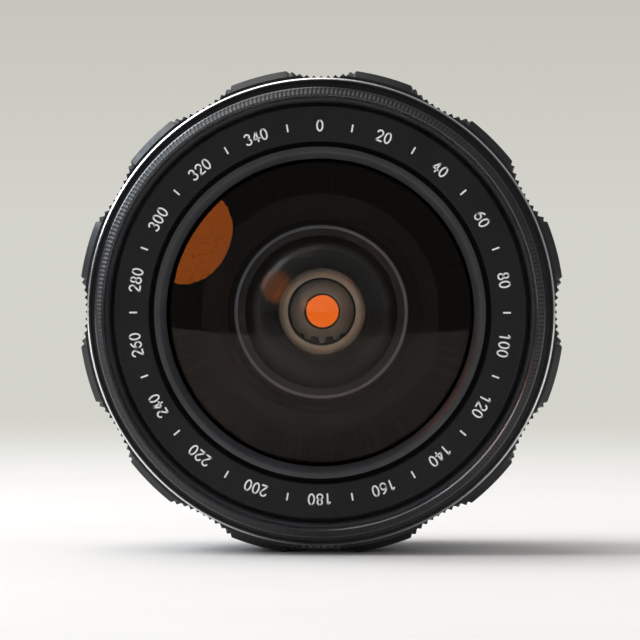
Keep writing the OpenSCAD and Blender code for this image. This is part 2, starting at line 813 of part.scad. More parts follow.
module focus_set_screws() {
  sunk = 0.3;
  color("#6f7174") lay()
    for (a = focus_screw_angles)
      radial_pin(set_screw_r, cam_in_r + cam_wall / 3 + seat_fit, valley_root_r - sunk, a,
        focus_screw_z);
}

// Optical block

module turret_place() {
  translate([0, turret_off, 0]) children();
}

module lens_barrel() {
  rim_wall = 2.5;
  light_r = filter_r + 0.5;
  window_half = 10;
  turret_room = turret_pitch_r + addendum + swing_gap;
  color("#232427") lay() difference() {
    union() {
      disc(barrel_r, -barrel_back, block_z0 + cut);
      disc(block_r, block_z0, block_z1);
      disc(housing_r, block_z1 - cut, chamber_z0);
      ring(housing_r - rim_wall, housing_r, chamber_z0 - cut, chamber_z1);
    }
    disc(barrel_bore_r, -barrel_back - cut, iris_z1);
    disc(light_r, iris_z1 - cut, chamber_z0 + cut);
    turret_place() disc(turret_room, chamber_z0, chamber_z1 + cut);
    turret_place() disc(axle_r + seat_fit, axle_z0, chamber_z0 + cut, $fn = 32);
    arc_block(barrel_bore_r - cut, barrel_r + cut, lever_angle - window_half,
      lever_angle + aperture_turn + window_half, cam_plate_z0 - swing_gap, cam_plate_z0 + cam_plate_t + swing_gap);
    for (a = follower_angles) radial_pin(follower_r + seat_fit, follower_in_r, block_r + cut, a, follower_z);
    for (a = housing_screw_angles)
      rotate([0, 0, a]) translate([housing_screw_circle, 0, 0]) {
        disc(housing_screw_r + seat_fit, block_z0 - cut, chamber_z1 + cut, $fn = 32);
        disc(housing_head_r + seat_fit, block_z0 - cut, block_z0 + housing_head_t, $fn = 32);
      }
  }
}

module cam_followers() {
  color("#c9a95c") lay()
    for (a = follower_angles) radial_pin(follower_r, follower_in_r + seat_fit, cam_r - run_fit, a, follower_z);
}

module housing_screws() {
  color("#8d8f92") lay()
    for (a = housing_screw_angles)
      rotate([0, 0, a]) translate([housing_screw_circle, 0, 0]) {
        disc(housing_screw_r, block_z0 + run_fit, chamber_z1 + housing_screw_grip, $fn = 32);
        disc(housing_head_r, block_z0 + run_fit, block_z0 + housing_head_t, $fn = 32);
      }
}

module front_housing() {
  light_r = pair_r - 0.9;
  color("#1b1c1f") lay() difference() {
    disc(housing_r, chamber_z1, name_z0);
    disc(light_r, chamber_z1 - cut, plate_z1 + cut);
    disc(second_cell_r + seat_fit, plate_z1, name_z0 + cut);
    disc(front_r + run_fit, front_back_z, name_z0 + cut);
    disc(front_ring_r + seat_fit, front_ring_z0, name_z0 + cut);
    turret_place() disc(axle_r + seat_fit, chamber_z1 - cut, axle_z1, $fn = 32);
    rotate([0, 0, 90]) translate([turret_off + detent_r, 0, 0])
      disc(ball_hole_r, chamber_z1 - cut, chamber_z1 + detent_depth, $fn = 32);
    for (a = housing_screw_angles)
      rotate([0, 0, a]) translate([housing_screw_circle, 0, 0])
        disc(housing_screw_r + seat_fit, chamber_z1 - cut, chamber_z1 + housing_screw_grip + seat_fit, $fn = 32);
  }
}

module name_ring() {
  bevel = 0.2;
  color("#141518") lay() turned([
    [name_inner_r, name_z0], [name_outer_r, name_z0], [name_outer_r, name_z1 - bevel],
    [name_outer_r - bevel, name_z1], [name_inner_r + bevel, name_z1], [name_inner_r, name_z1 - bevel]
  ]);
}

module front_retaining_ring() {
  lip_t = 0.4;
  crest = 0.8;
  lip_z0 = front_edge_z + 2 * run_fit;
  crest_z = front_edge_z + 1.5;
  shade_r = front_r + 2 * run_fit;
  color("#5a5c60") lay() turned([
    [front_clear_r, lip_z0], [front_clear_r, lip_z0 + lip_t], [front_ring_r - crest, crest_z],
    [front_ring_r, crest_z], [front_ring_r, front_ring_z0], [shade_r, front_ring_z0], [shade_r, lip_z0]
  ]);
}

module front_element() {
  color("#40342c") lay() difference() {
    intersection() {
      disc(front_r, front_back_z, front_vertex + cut);
      translate([0, 0, front_vertex - front_curve]) sphere(r = front_curve);
    }
    translate([0, 0, front_hollow_z]) sphere(r = front_back_curve);
  }
}

module second_cell() {
  color("#19191b") lay() difference() {
    disc(second_cell_r, plate_z1, second_edge_z);
    disc(second_r + seat_fit, second_back_z, second_edge_z + cut);
    disc(second_hollow_r, second_back_z - second_lip - cut, second_back_z + cut);
    disc(pair_r + pair_wall + seat_fit, plate_z1 - cut, second_back_z - second_lip);
  }
}

module second_element() {
  color("#46484f") lay() difference() {
    intersection() {
      disc(second_r, second_back_z, second_vertex + cut);
      translate([0, 0, second_vertex - second_curve]) sphere(r = second_curve);
    }
    translate([0, 0, second_vertex - second_t - second_back_curve]) sphere(r = second_back_curve);
  }
}

module second_retaining_ring() {
  lip_t = 0.3;
  color("#4b4d52") lay() turned([
    [second_r - second_overlap, second_ring_z0], [second_r - second_overlap, second_ring_z0 + lip_t],
    [second_r, second_ring_z1], [second_ring_r, second_ring_z1], [second_ring_r, second_edge_z],
    [second_r + run_fit, second_edge_z], [second_r + run_fit, second_ring_z0]
  ]);
}

module pair_cell() {
  color("#1d1d20") lay() difference() {
    disc(pair_r + pair_wall, plate_z1, pair_edge_z);
    disc(pair_r + seat_fit, pair_z0, pair_edge_z + cut);
    disc(pair_r - 0.9, plate_z1 - cut, pair_z0 + cut);
  }
}

module pair_join_ball() {
  translate([0, 0, pair_split_z + sag(pair_join_curve, pair_r) - pair_join_curve]) sphere(r = pair_join_curve);
}

module pair_front_glass() {
  color("#6b6257") lay() difference() {
    intersection() {
      disc(pair_r, pair_split_z, pair_vertex + cut);
      translate([0, 0, pair_vertex - pair_curve]) sphere(r = pair_curve);
    }
    pair_join_ball();
  }
}

module pair_rear_glass() {
  color("#7a7063") lay() union() {
    disc(pair_r, pair_z0, pair_split_z);
    intersection() {
      disc(pair_r, pair_split_z - cut, pair_vertex);
      pair_join_ball();
    }
  }
}

module pair_retaining_ring() {
  overlap = 0.8;
  lip_z0 = pair_vertex - sag(pair_curve, pair_r - overlap) + run_fit;
  color("#2b2c2f") lay() turned([
    [pair_r - overlap, lip_z0], [pair_r - overlap, lip_z0 + 0.3], [pair_r + pair_wall, lip_z0 + 0.3],
    [pair_r + pair_wall, pair_edge_z], [pair_r + run_fit, pair_edge_z], [pair_r + run_fit, lip_z0]
  ]);
}

module rear_cell() {
  color("#1f2022") lay() difference() {
    disc(iris_r, rear_cell_z0, rear_cell_z1);
    disc(rear_r + seat_fit, rear_cell_z0 - cut, rear_cell_z1 - rear_lip);
    disc(rear_clear_r, rear_cell_z1 - rear_lip - cut, rear_cell_z1 + cut);
  }
}

// Level of the back of a rear pair, counted from the mount; index 0 is the rearmost
function rear_pair_z(index) = rear_cell_z0 + rear_ring_t + index * (rear_pair_t + rear_space);

// Ball whose top dome parts the two glasses of a rear pair
module rear_join(index) {
  translate([0, 0, rear_pair_z(index) + rear_join_rise - rear_bulge]) sphere(r = rear_bulge, $fn = 240);
}

module rear_glass_back(index) {
  color("#575049") lay() intersection() {
    disc(rear_r, rear_pair_z(index), rear_pair_z(index) + rear_pair_t);
    rear_join(index);
  }
}

module rear_glass_front(index) {
  color("#6a6058") lay() difference() {
    disc(rear_r, rear_pair_z(index), rear_pair_z(index) + rear_pair_t);
    rear_join(index);
  }
}

module rear_glass_1() { rear_glass_back(0); }
module rear_glass_2() { rear_glass_front(0); }
module rear_glass_3() { rear_glass_back(1); }
module rear_glass_4() { rear_glass_front(1); }
module rear_glass_5() { rear_glass_back(2); }
module rear_glass_6() { rear_glass_front(2); }

module rear_spacers() {
  color("#2a2b2e") lay()
    for (index = [0:1])
      ring(rear_clear_r, rear_r, rear_pair_z(index) + rear_pair_t, rear_pair_z(index + 1));
}

module rear_retaining_ring() {
  color("#3a3b3e") lay() ring(rear_clear_r, rear_r, rear_cell_z0, rear_cell_z0 + rear_ring_t);
}

// Iris

module iris_housing() {
  window_half = 10;
  color("#2a2b2e") lay() {
    difference() {
      disc(iris_r, iris_z0, iris_z1);
      disc(iris_bore_r, iris_z0 - cut, iris_z1 - iris_front_t);
      disc(stop_r, iris_z0, iris_z1 + cut);
      arc_block(iris_bore_r - cut, iris_r + cut, lever_angle - window_half,
        lever_angle + aperture_turn + window_half, iris_z0 - cut, cam_plate_z0 + cam_plate_t + swing_gap / 2);
    }
    for (k = [0:blades - 1])
      rotate([0, 0, k * 360 / blades]) translate([pivot_circle_r, 0, 0])
        disc(pivot_r, blade_z0 - 0.1, iris_z1 - iris_front_t + cut, $fn = 24);
  }
}

module iris_cover() {
  light_r = blade_in_r + 1.8;
  color("#222326") lay() ring(light_r, iris_r, iris_z0 - iris_cover_t, iris_z0);
}

module iris_cam_ring() {
  inner_r = blade_in_r + 0.8;
  color("#96793f") lay() {
    difference() {
      ring(inner_r, iris_bore_r - run_fit, cam_plate_z0, cam_plate_z0 + cam_plate_t);
      for (k = [0:blades - 1])
        rotate([0, 0, k * 360 / blades]) translate([0, 0, cam_plate_z0 - cut])
          linear_extrude(height = cam_plate_t + 2 * cut) polygon(slot_points());
    }
    rotate([0, 0, lever_angle]) {
      translate([iris_bore_r - 0.6, -arm_w / 2, cam_plate_z0])
        cube([post_circle_r - iris_bore_r + 0.6, arm_w, cam_plate_t]);
      translate([post_circle_r, 0, 0]) disc(arm_w / 2, cam_plate_z0, cam_plate_z0 + cam_plate_t, $fn = 32);
      translate([post_circle_r, 0, 0]) disc(post_r, post_z0, cam_plate_z0 + cam_plate_t, $fn = 32);
    }
  }
}

module iris_blade(k) {
  z = blade_z0 + k * blade_step;
  peg_z0 = cam_plate_z0 + 0.1;
  color("#3a3b3e") lay() rotate([0, 0, k * 360 / blades]) difference() {
    union() {
      arc_block(blade_in_r, blade_out_r, 0, blade_arc, z, z + blade_t);
      translate([pivot_circle_r, 0, 0]) disc(lobe_r, z, z + blade_t, $fn = 32);
      translate([blade_out_r - lobe_r, 0, z]) cube([pivot_circle_r - blade_out_r + lobe_r, lobe_r, blade_t]);
      translate([pivot_circle_r - peg_lobe_r, -peg_arm, z]) cube([2 * peg_lobe_r, peg_arm, blade_t]);
      translate([pivot_circle_r, -peg_arm, 0]) disc(peg_lobe_r, z, z + blade_t, $fn = 32);
      translate([pivot_circle_r, -peg_arm, 0]) disc(peg_r, peg_z0, z + blade_t, $fn = 24);
    }
    translate([pivot_circle_r, 0, 0]) disc(pivot_r + pivot_fit, z - cut, z + blade_t + cut, $fn = 24);
  }
}

module iris_blade_1() { iris_blade(0); }
module iris_blade_2() { iris_blade(1); }
module iris_blade_3() { iris_blade(2); }
module iris_blade_4() { iris_blade(3); }
module iris_blade_5() { iris_blade(4); }

// Filter ring and turret

module filter_ring() {
  wall_r0 = name_outer_r + swing_gap - 0.1;
  bevel_r = head_r - bevel_w;
  color("#101114") lay() difference() {
    turned([
      [housing_r + run_fit, filter_z0], [filter_sleeve_r, filter_z0], [filter_sleeve_r, head_z0],
      [head_r, head_z0], [head_r, head_z1 - bevel_h], [bevel_r, head_z1],
      [wall_r0, web_z1], [housing_r + run_fit, web_z1]
    ]);
    translate([0, 0, filter_z0 - cut]) linear_extrude(height = chamber_z1 - filter_z0 + cut)
      polygon(teeth_points(filter_teeth, filter_pitch_r - addendum, filter_pitch_r + dedendum,
        gap_share_mouth, gap_share_foot, 90));
  }
}

module filter_turret() {
  tooth_share_root = 0.54;
  tooth_share_tip = 0.26;
  dimple_r = 0.6;
  lip_r = filter_r - 0.4;
  color("#8a8c8f") lay() turret_place() difference() {
    translate([0, 0, turret_z0]) linear_extrude(height = turret_t)
      polygon(teeth_points(turret_teeth, turret_pitch_r - dedendum, turret_pitch_r + addendum,
        tooth_share_root, tooth_share_tip, 90));
    disc(axle_r + run_fit, turret_z0 - cut, turret_z1 + cut, $fn = 48);
    for (k = [0:filter_count - 1]) {
      filter_cell(k) disc(filter_r + seat_fit, filter_seat_z, turret_z1 + cut);
      filter_cell(k) disc(lip_r, turret_z0 - cut, turret_z1 + cut);
      rotate([0, 0, 90 + 120 * k]) translate([detent_r, 0, turret_z1]) sphere(r = dimple_r, $fn = 24);
    }
  }
}

// Place of one of the turret's cells; cell 0 lies on the optical axis at rest
module filter_cell(k) {
  rotate([0, 0, -90 + k * 360 / filter_count]) translate([turret_off, 0, 0]) children();
}

module filter_glass(k) {
  turret_place() filter_cell(k) disc(filter_r, filter_seat_z, filter_seat_z + filter_t);
}

module filter_orange() { color("#f4770f") lay() filter_glass(0); }
module filter_yellow() { color("#f2c928") lay() filter_glass(1); }
module filter_clear() { color("#dfe6e8") lay() filter_glass(2); }

module filter_retainers() {
  wall = 0.5;
  color("#55575a") lay() turret_place()
    for (k = [0:filter_count - 1])
      filter_cell(k) ring(filter_r - wall, filter_r, filter_seat_z + filter_t, turret_z1 - 0.1);
}

module turret_axle() {
  color("#c5c7c9") lay() turret_place() disc(axle_r, axle_z0 + seat_fit, axle_z1 - seat_fit, $fn = 48);
}

module detent_ball() {
  tip = 0.25;
  color("#d5d7d9") lay() translate([0, turret_off + detent_r, chamber_z1 - tip + ball_r]) sphere(r = ball_r, $fn = 32);
}

module detent_spring() {
  color("#a9abae") lay() translate([0, turret_off + detent_r, 0])
    coil_spring(spring_r, chamber_z1 + 2 * ball_r - 0.2, chamber_z1 + detent_depth, 4);
}

mount_ring();
mount_screws();
base_barrel();
guide_bush();
depth_scale_ring();
depth_ring_screws();
focus_stop_ring();
pin_spring();
stop_down_pin();
mode_switch();
aperture_ring();
aperture_lever();
click_ball();
click_spring();
focus_ring();
focus_edge_ring();
focus_cam_ring();
focus_set_screws();
lens_barrel();
cam_followers();
front_housing();
housing_screws();
name_ring();
front_retaining_ring();
front_element();
second_cell();
second_element();
second_retaining_ring();
pair_cell();
pair_front_glass();
pair_rear_glass();
pair_retaining_ring();
iris_housing();
iris_cover();
iris_cam_ring();
iris_blade_1();
iris_blade_2();
iris_blade_3();
iris_blade_4();
iris_blade_5();
rear_cell();
rear_glass_1();
rear_glass_2();
rear_glass_3();
rear_glass_4();
rear_glass_5();
rear_glass_6();
rear_spacers();
rear_retaining_ring();
filter_ring();
filter_turret();
turret_axle();
filter_clear();
filter_yellow();
filter_orange();
filter_retainers();
detent_ball();
detent_spring();
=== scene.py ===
import math

import bpy
import numpy as np
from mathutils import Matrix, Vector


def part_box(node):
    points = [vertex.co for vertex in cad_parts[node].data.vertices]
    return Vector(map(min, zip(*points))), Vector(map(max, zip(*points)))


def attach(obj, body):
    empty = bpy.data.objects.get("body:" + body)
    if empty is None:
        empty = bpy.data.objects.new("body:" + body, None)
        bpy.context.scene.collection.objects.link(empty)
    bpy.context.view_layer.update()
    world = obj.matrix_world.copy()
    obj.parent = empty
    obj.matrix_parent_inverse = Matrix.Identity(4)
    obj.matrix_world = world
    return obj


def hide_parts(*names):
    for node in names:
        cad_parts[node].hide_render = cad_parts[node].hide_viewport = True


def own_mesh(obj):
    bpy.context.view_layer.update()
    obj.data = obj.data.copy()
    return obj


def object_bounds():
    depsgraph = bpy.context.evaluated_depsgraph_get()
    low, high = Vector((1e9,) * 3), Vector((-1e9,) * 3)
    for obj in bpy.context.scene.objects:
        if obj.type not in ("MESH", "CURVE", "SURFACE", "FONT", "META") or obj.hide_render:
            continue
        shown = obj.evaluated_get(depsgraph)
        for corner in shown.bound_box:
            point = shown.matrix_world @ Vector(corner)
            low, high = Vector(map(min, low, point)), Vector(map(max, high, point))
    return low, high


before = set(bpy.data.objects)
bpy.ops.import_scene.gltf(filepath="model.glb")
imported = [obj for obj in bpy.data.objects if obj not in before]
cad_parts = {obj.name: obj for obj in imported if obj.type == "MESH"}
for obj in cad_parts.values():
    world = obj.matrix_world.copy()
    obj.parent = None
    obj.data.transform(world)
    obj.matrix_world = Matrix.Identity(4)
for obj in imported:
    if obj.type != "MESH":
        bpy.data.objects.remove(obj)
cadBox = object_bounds()
scene = bpy.context.scene
mm = 0.001
fullTurn = 2 * math.pi


# A CAD ring's outer radius, and its back and front levels along the lens axis, in mm
def ringSize(node):
    low, high = (np.array(corner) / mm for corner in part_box(node))
    return high[0], -high[1], -low[1]


# Every solid of revolution below is a grid: row i at angle a, column j at (r, z) on a profile.
# Point = (r cos a, -z, r sin a) in mm; a profile runs anticlockwise when r points right and z up.
def roundPoints(angle, r, z):
    a = np.asarray(angle)[:, None]
    r, z = np.broadcast_arrays(r, z)
    return np.stack([r * np.cos(a), -z + 0 * a, r * np.sin(a)], axis=-1) * mm


def turns(count):
    return np.arange(count) * fullTurn / count


# Triangle wave from 1 down to 0 and back to 1, a number of times round the ring
def triangleWave(angle, count):
    return np.abs((angle * count / fullTurn) % 1 * 2 - 1)


# Quads of a grid that closes round its rows, and round its columns too if asked
def gridQuads(rows, cols, closedCols):
    i = np.arange(rows)[:, None]
    j = np.arange(cols if closedCols else cols - 1)[None, :]
    iNext, jNext = (i + 1) % rows, (j + 1) % cols
    corners = [i * cols + j, iNext * cols + j, iNext * cols + jNext, i * cols + jNext]
    return np.stack(corners, axis=-1).reshape(-1, 4)


def newPiece(name, points, faces, sharp=32):
    mesh = bpy.data.meshes.new(name)
    mesh.from_pydata(points.reshape(-1, 3), [], faces)
    mesh.shade_smooth()
    mesh.set_sharp_from_angle(angle=math.radians(sharp))
    piece = bpy.data.objects.new(name, mesh)
    scene.collection.objects.link(piece)
    return piece


# Ring with a hole: the profile is a closed loop, the same at every angle or one row per angle
def ringPiece(name, angle, r, z, sharp=32):
    points = roundPoints(angle, r, z)
    return newPiece(name, points, gridQuads(*points.shape[:2], True).tolist(), sharp)


# Solid body: the profile starts and ends on the axis, where a fan of triangles closes it
def solidPiece(name, count, profile, sharp=32):
    r, z = profile[1:-1].T
    points = roundPoints(turns(count), r, z)
    rows, cols = points.shape[:2]
    poles = roundPoints([0.0], profile[[0, -1], 0], profile[[0, -1], 1])
    here = np.arange(rows) * cols
    after = np.roll(here, -1)
    first = np.stack([here * 0 + rows * cols, after, here], axis=-1)
    last = np.stack([here * 0 + rows * cols + 1, here + cols - 1, after + cols - 1], axis=-1)
    faces = gridQuads(rows, cols, False).tolist() + first.tolist() + last.tolist()
    return newPiece(name, np.concatenate([points.reshape(-1, 3), poles.reshape(-1, 3)]), faces, sharp)


# Rounds the corners of a closed profile: each corner becomes a short parabola between two points
# on its sides, at most the given size away from it and before the middle of the side
def rounded(profile, size, steps, sideShare=0.45):
    corner = np.asarray(profile, dtype=float)
    toLast = np.roll(corner, 1, axis=0) - corner
    toNext = np.roll(corner, -1, axis=0) - corner
    lastLength = np.linalg.norm(toLast, axis=1, keepdims=True)
    nextLength = np.linalg.norm(toNext, axis=1, keepdims=True)
    start = corner + toLast / lastLength * np.minimum(size, lastLength * sideShare)
    end = corner + toNext / nextLength * np.minimum(size, nextLength * sideShare)
    t = np.linspace(0, 1, steps)[None, :, None]
    curve = (1 - t) ** 2 * start[:, None] + 2 * t * (1 - t) * corner[:, None] + t ** 2 * end[:, None]
    return curve.reshape(-1, 2)


# First column of a rounded profile's side after a corner, and the column after its last one, with half
# of the rounding at both ends
def sideColumns(corner, steps):
    return corner * steps + steps // 2, (corner + 1) * steps + steps // 2


# Piece from columns of its profile, each a radius for every angle and a level
def columnRing(name, angle, columns):
    circle = np.ones_like(angle)
    r = np.stack([circle * radius for radius, level in columns], axis=1)
    z = np.stack([circle * level for radius, level in columns], axis=1)
    return ringPiece(name, angle, r, z)


# Gives a piece its finish and its body, and hides the CAD nodes that it stands for
def fit(piece, material, body, slot, *nodes):
    piece.data.materials.append(material)
    weighted = piece.modifiers.new("flatFaces", "WEIGHTED_NORMAL")
    weighted.keep_sharp = True
    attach(piece, body)
    if nodes:
        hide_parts(*nodes)


# Puts other finishes on some columns of a profile; a solid's closing fans keep the first finish
def paintColumns(piece, rows, cols, *bands):
    column = np.arange(cols)
    row = np.zeros(cols, np.int32)
    for slot, (material, first, last) in enumerate(bands, 1):
        piece.data.materials.append(material)
        row[(column >= first) & (column < last)] = slot
    index = np.zeros(len(piece.data.polygons), np.int32)
    index[:rows * cols] = np.tile(row, rows)
    piece.data.polygons.foreach_set("material_index", index)


# Materials

def newMaterial(name):
    material = bpy.data.materials.new(name)
    material.use_nodes = True
    return material, material.node_tree, material.node_tree.nodes["Principled BSDF"]


def addNode(tree, kind, **values):
    node = tree.nodes.new(kind)
    for key, value in values.items():
        if key in node.inputs:
            node.inputs[key].default_value = value
        else:
            setattr(node, key, value)
    return node


# A calculation with numbers or sockets
def mathNode(tree, operation, first, second, clamp=True):
    node = addNode(tree, "ShaderNodeMath", operation=operation, use_clamp=clamp)
    for socket, value in zip(node.inputs, (first, second)):
        if isinstance(value, (int, float)):
            socket.default_value = value
        else:
            tree.links.new(value, socket)
    return node.outputs["Value"]


def objectPlace(tree):
    return addNode(tree, "ShaderNodeTexCoord").outputs["Object"]


# Noise on Object coordinates; scale counts grains per metre
def noise(tree, scale, detail):
    texture = addNode(tree, "ShaderNodeTexNoise", Scale=scale, Detail=detail)
    tree.links.new(objectPlace(tree), texture.inputs["Vector"])
    return texture.outputs["Fac"]


# Distance from an axis through the origin; the mask has 0 along the axis and 1 across it
def axisDistance(tree, place, mask):
    flat = addNode(tree, "ShaderNodeVectorMath", operation="MULTIPLY")
    flat.inputs[1].default_value = mask
    length = addNode(tree, "ShaderNodeVectorMath", operation="LENGTH")
    tree.links.new(place, flat.inputs[0])
    tree.links.new(flat.outputs["Vector"], length.inputs[0])
    return length.outputs["Value"]


def lensAxisDistance(tree):
    return axisDistance(tree, objectPlace(tree), (1, 0, 1))


# Fine grooves left by the lathe: noise that depends only on the distance from the lens axis
# and on the place along it
def latheLines(tree, scale):
    split = addNode(tree, "ShaderNodeSeparateXYZ")
    join = addNode(tree, "ShaderNodeCombineXYZ")
    texture = addNode(tree, "ShaderNodeTexNoise", Scale=scale, Detail=2.0)
    tree.links.new(objectPlace(tree), split.inputs["Vector"])
    tree.links.new(lensAxisDistance(tree), join.inputs["X"])
    tree.links.new(split.outputs["Y"], join.inputs["Y"])
    tree.links.new(join.outputs["Vector"], texture.inputs["Vector"])
    return texture.outputs["Fac"]


# Blend of two colours, or of two greys that stand for numbers, by a texture between two of its levels
def ramp(tree, source, low, high, first, second):
    node = addNode(tree, "ShaderNodeValToRGB")
    node.color_ramp.elements[0].position = low
    node.color_ramp.elements[1].position = high
    node.color_ramp.elements[0].color = first
    node.color_ramp.elements[1].color = second
    tree.links.new(source, node.inputs["Fac"])
    return node.outputs["Color"]


def grey(level):
    return (level, level, level, 1)


def bump(tree, shader, height, strength):
    node = addNode(tree, "ShaderNodeBump", Strength=strength, Distance=bumpHeight)
    tree.links.new(height, node.inputs["Height"])
    tree.links.new(node.outputs["Normal"], shader.inputs["Normal"])


# Grains per metre of the cloud in the colour and of the finer one in the gloss, bump height in metres
colourCloud = 120
glossCloud = 900
bumpHeight = 0.00002


# A metal, paint or anodised skin: colour drifts with a soft cloud, gloss with a finer one,
# and the bump is either grain or lathe lines. An edge is a painted highlight: a light band round the lens
# axis on a dark ground, given by its middle radius and its width in mm.
def skin(name, values):
    material, tree, shader = newMaterial(name)
    shader.inputs["Metallic"].default_value = values.get("metal", 0)
    shader.inputs["Specular IOR Level"].default_value = values.get("specular", 0.5)
    if "edge" in values:
        middle, wide = values["edge"]
        band = addNode(tree, "ShaderNodeMath", operation="COMPARE")
        band.inputs[1].default_value = middle * mm
        band.inputs[2].default_value = wide / 2 * mm
        tree.links.new(lensAxisDistance(tree), band.inputs[0])
        colour = ramp(tree, band.outputs["Value"], 0, 1, values["dark"], values["light"])
    else:
        colour = ramp(tree, noise(tree, colourCloud, 4), 0.3, 0.7, values["dark"], values["light"])
    tree.links.new(colour, shader.inputs["Base Color"])
    smooth, rough = (grey(level) for level in values["gloss"])
    roughness = ramp(tree, noise(tree, glossCloud, 3), 0.25, 0.75, smooth, rough)
    tree.links.new(roughness, shader.inputs["Roughness"])
    height = latheLines(tree, values["lines"]) if "lines" in values else noise(tree, values["grain"], 2)
    bump(tree, shader, height, values["depth"])
    return material


skins = {
    "satinBlack": dict(dark=(0.014, 0.014, 0.0155, 1), light=(0.022, 0.022, 0.024, 1), gloss=(0.34, 0.46),
                       grain=9000, depth=0.35, specular=0.4),
    "enamelBlack": dict(dark=(0.011, 0.011, 0.0115, 1), light=(0.0145, 0.0145, 0.015, 1), gloss=(0.42, 0.52),
                        grain=14000, depth=0.25, specular=0.2),
    "innerBlack": dict(dark=(0.004, 0.004, 0.004, 1), light=(0.008, 0.0078, 0.0075, 1), gloss=(0.6, 0.75),
                       lines=9000, depth=0.4, specular=0.15),
    # Painted reflection: a black lighter than the others, standing in for the light that the recessed glossy
    # wall mirrors
    "wallBlackPaintedReflection": dict(dark=(0.04, 0.041, 0.044, 1), light=(0.05, 0.051, 0.054, 1), gloss=(0.3, 0.33),
                      lines=9000, depth=0.1),
    "glossBlack": dict(dark=(0.014, 0.014, 0.0155, 1), light=(0.02, 0.02, 0.022, 1), gloss=(0.16, 0.2),
                       grain=9000, depth=0.1, specular=0.9),
    "rimPaint": dict(dark=(0.003, 0.003, 0.003, 1), light=(0.005, 0.005, 0.005, 1), gloss=(0.7, 0.8),
                     grain=9000, depth=0.3, specular=0.05),
    # Painted highlight: a thin cool light band 12.6 mm from the axis, on the second glass's retaining ring
    "paintedHighlightRing": dict(dark=(0.004, 0.004, 0.004, 1), light=(0.15, 0.17, 0.19, 1), gloss=(0.4, 0.5),
                     edge=(12.6, 0.36), lines=11000, depth=0.3, specular=0.2),
    "mountAlloy": dict(dark=(0.52, 0.52, 0.53, 1), light=(0.62, 0.62, 0.63, 1), gloss=(0.26, 0.36), metal=1,
                       lines=12000, depth=0.5),
    "brightEdge": dict(dark=(0.66, 0.66, 0.67, 1), light=(0.78, 0.78, 0.79, 1), gloss=(0.2, 0.3), metal=1,
                       lines=12000, depth=0.3),
    "bezelGrey": dict(dark=(0.04, 0.041, 0.045, 1), light=(0.062, 0.063, 0.068, 1), gloss=(0.3, 0.4),
                      metal=0.4, lines=11000, depth=0.35),
    "plainSteel": dict(dark=(0.42, 0.42, 0.43, 1), light=(0.52, 0.52, 0.53, 1), gloss=(0.24, 0.34), metal=1,
                       grain=6000, depth=0.3),
    "springSteel": dict(dark=(0.3, 0.3, 0.31, 1), light=(0.42, 0.42, 0.43, 1), gloss=(0.22, 0.3), metal=1,
                        grain=8000, depth=0.2),
    "turnedBrass": dict(dark=(0.52, 0.36, 0.13, 1), light=(0.62, 0.44, 0.18, 1), gloss=(0.25, 0.36), metal=1,
                        lines=12000, depth=0.4),
    # Partly the turret's own grey metal, partly painted light: its brightness stands in for the lit ring seen
    # inside the lens
    "turretGreyAndPaintedLight": dict(dark=(0.68, 0.6, 0.46, 1), light=(0.76, 0.67, 0.53, 1), gloss=(0.4, 0.5),
                       lines=9000, depth=0.4),
    "bladeBlack": dict(dark=(0.022, 0.022, 0.024, 1), light=(0.035, 0.035, 0.038, 1), gloss=(0.36, 0.48),
                       metal=0.5, grain=7000, depth=0.3),
    "markWhite": dict(dark=(0.86, 0.86, 0.84, 1), light=(0.92, 0.92, 0.9, 1), gloss=(0.45, 0.55),
                      grain=16000, depth=0.2),
    "markOrange": dict(dark=(0.75, 0.2, 0.03, 1), light=(0.85, 0.26, 0.05, 1), gloss=(0.45, 0.55),
                       grain=16000, depth=0.2),
}
finish = {name: skin(name, values) for name, values in skins.items()}


# Glass: clear with a colour, a weak tinted reflection from its coating, and a faint smear
smearCloud = 60


def glass(name, values):
    material, tree, shader = newMaterial(name)
    shader.inputs["Base Color"].default_value = values["colour"]
    shader.inputs["Transmission Weight"].default_value = 1
    shader.inputs["IOR"].default_value = values["bend"]
    shader.inputs["Specular Tint"].default_value = values["sheen"]
    smear = ramp(tree, noise(tree, smearCloud, 5), 0.45, 0.8, grey(0.0), grey(values["smear"]))
    tree.links.new(smear, shader.inputs["Roughness"])
    return material


glasses = {
    "coatedGlass": dict(colour=(0.97, 0.96, 0.94, 1), bend=1.52, sheen=(0.38, 0.33, 0.29, 1), smear=0.02),
    "secondGlass": dict(colour=(0.97, 0.97, 0.96, 1), bend=1.52, sheen=(0.06, 0.06, 0.06, 1), smear=0.0),
    "pairGlass": dict(colour=(0.98, 0.98, 0.97, 1), bend=1.52, sheen=(0.05, 0.05, 0.05, 1), smear=0.0),
    "innerGlass": dict(colour=(0.99, 0.99, 0.98, 1), bend=1.52, sheen=(0.06, 0.065, 0.08, 1), smear=0.0),
    "orangeGlass": dict(colour=(0.97, 0.16, 0.004, 1), bend=1.5, sheen=(0.1, 0.1, 0.1, 1), smear=0.0),
    "yellowGlass": dict(colour=(0.95, 0.7, 0.03, 1), bend=1.5, sheen=(0.1, 0.1, 0.1, 1), smear=0.0),
    "clearGlass": dict(colour=(0.98, 0.98, 0.98, 1), bend=1.5, sheen=(0.1, 0.1, 0.1, 1), smear=0.0),
}
finish.update({name: glass(name, values) for name, values in glasses.items()})
print("finishes:", len(finish))

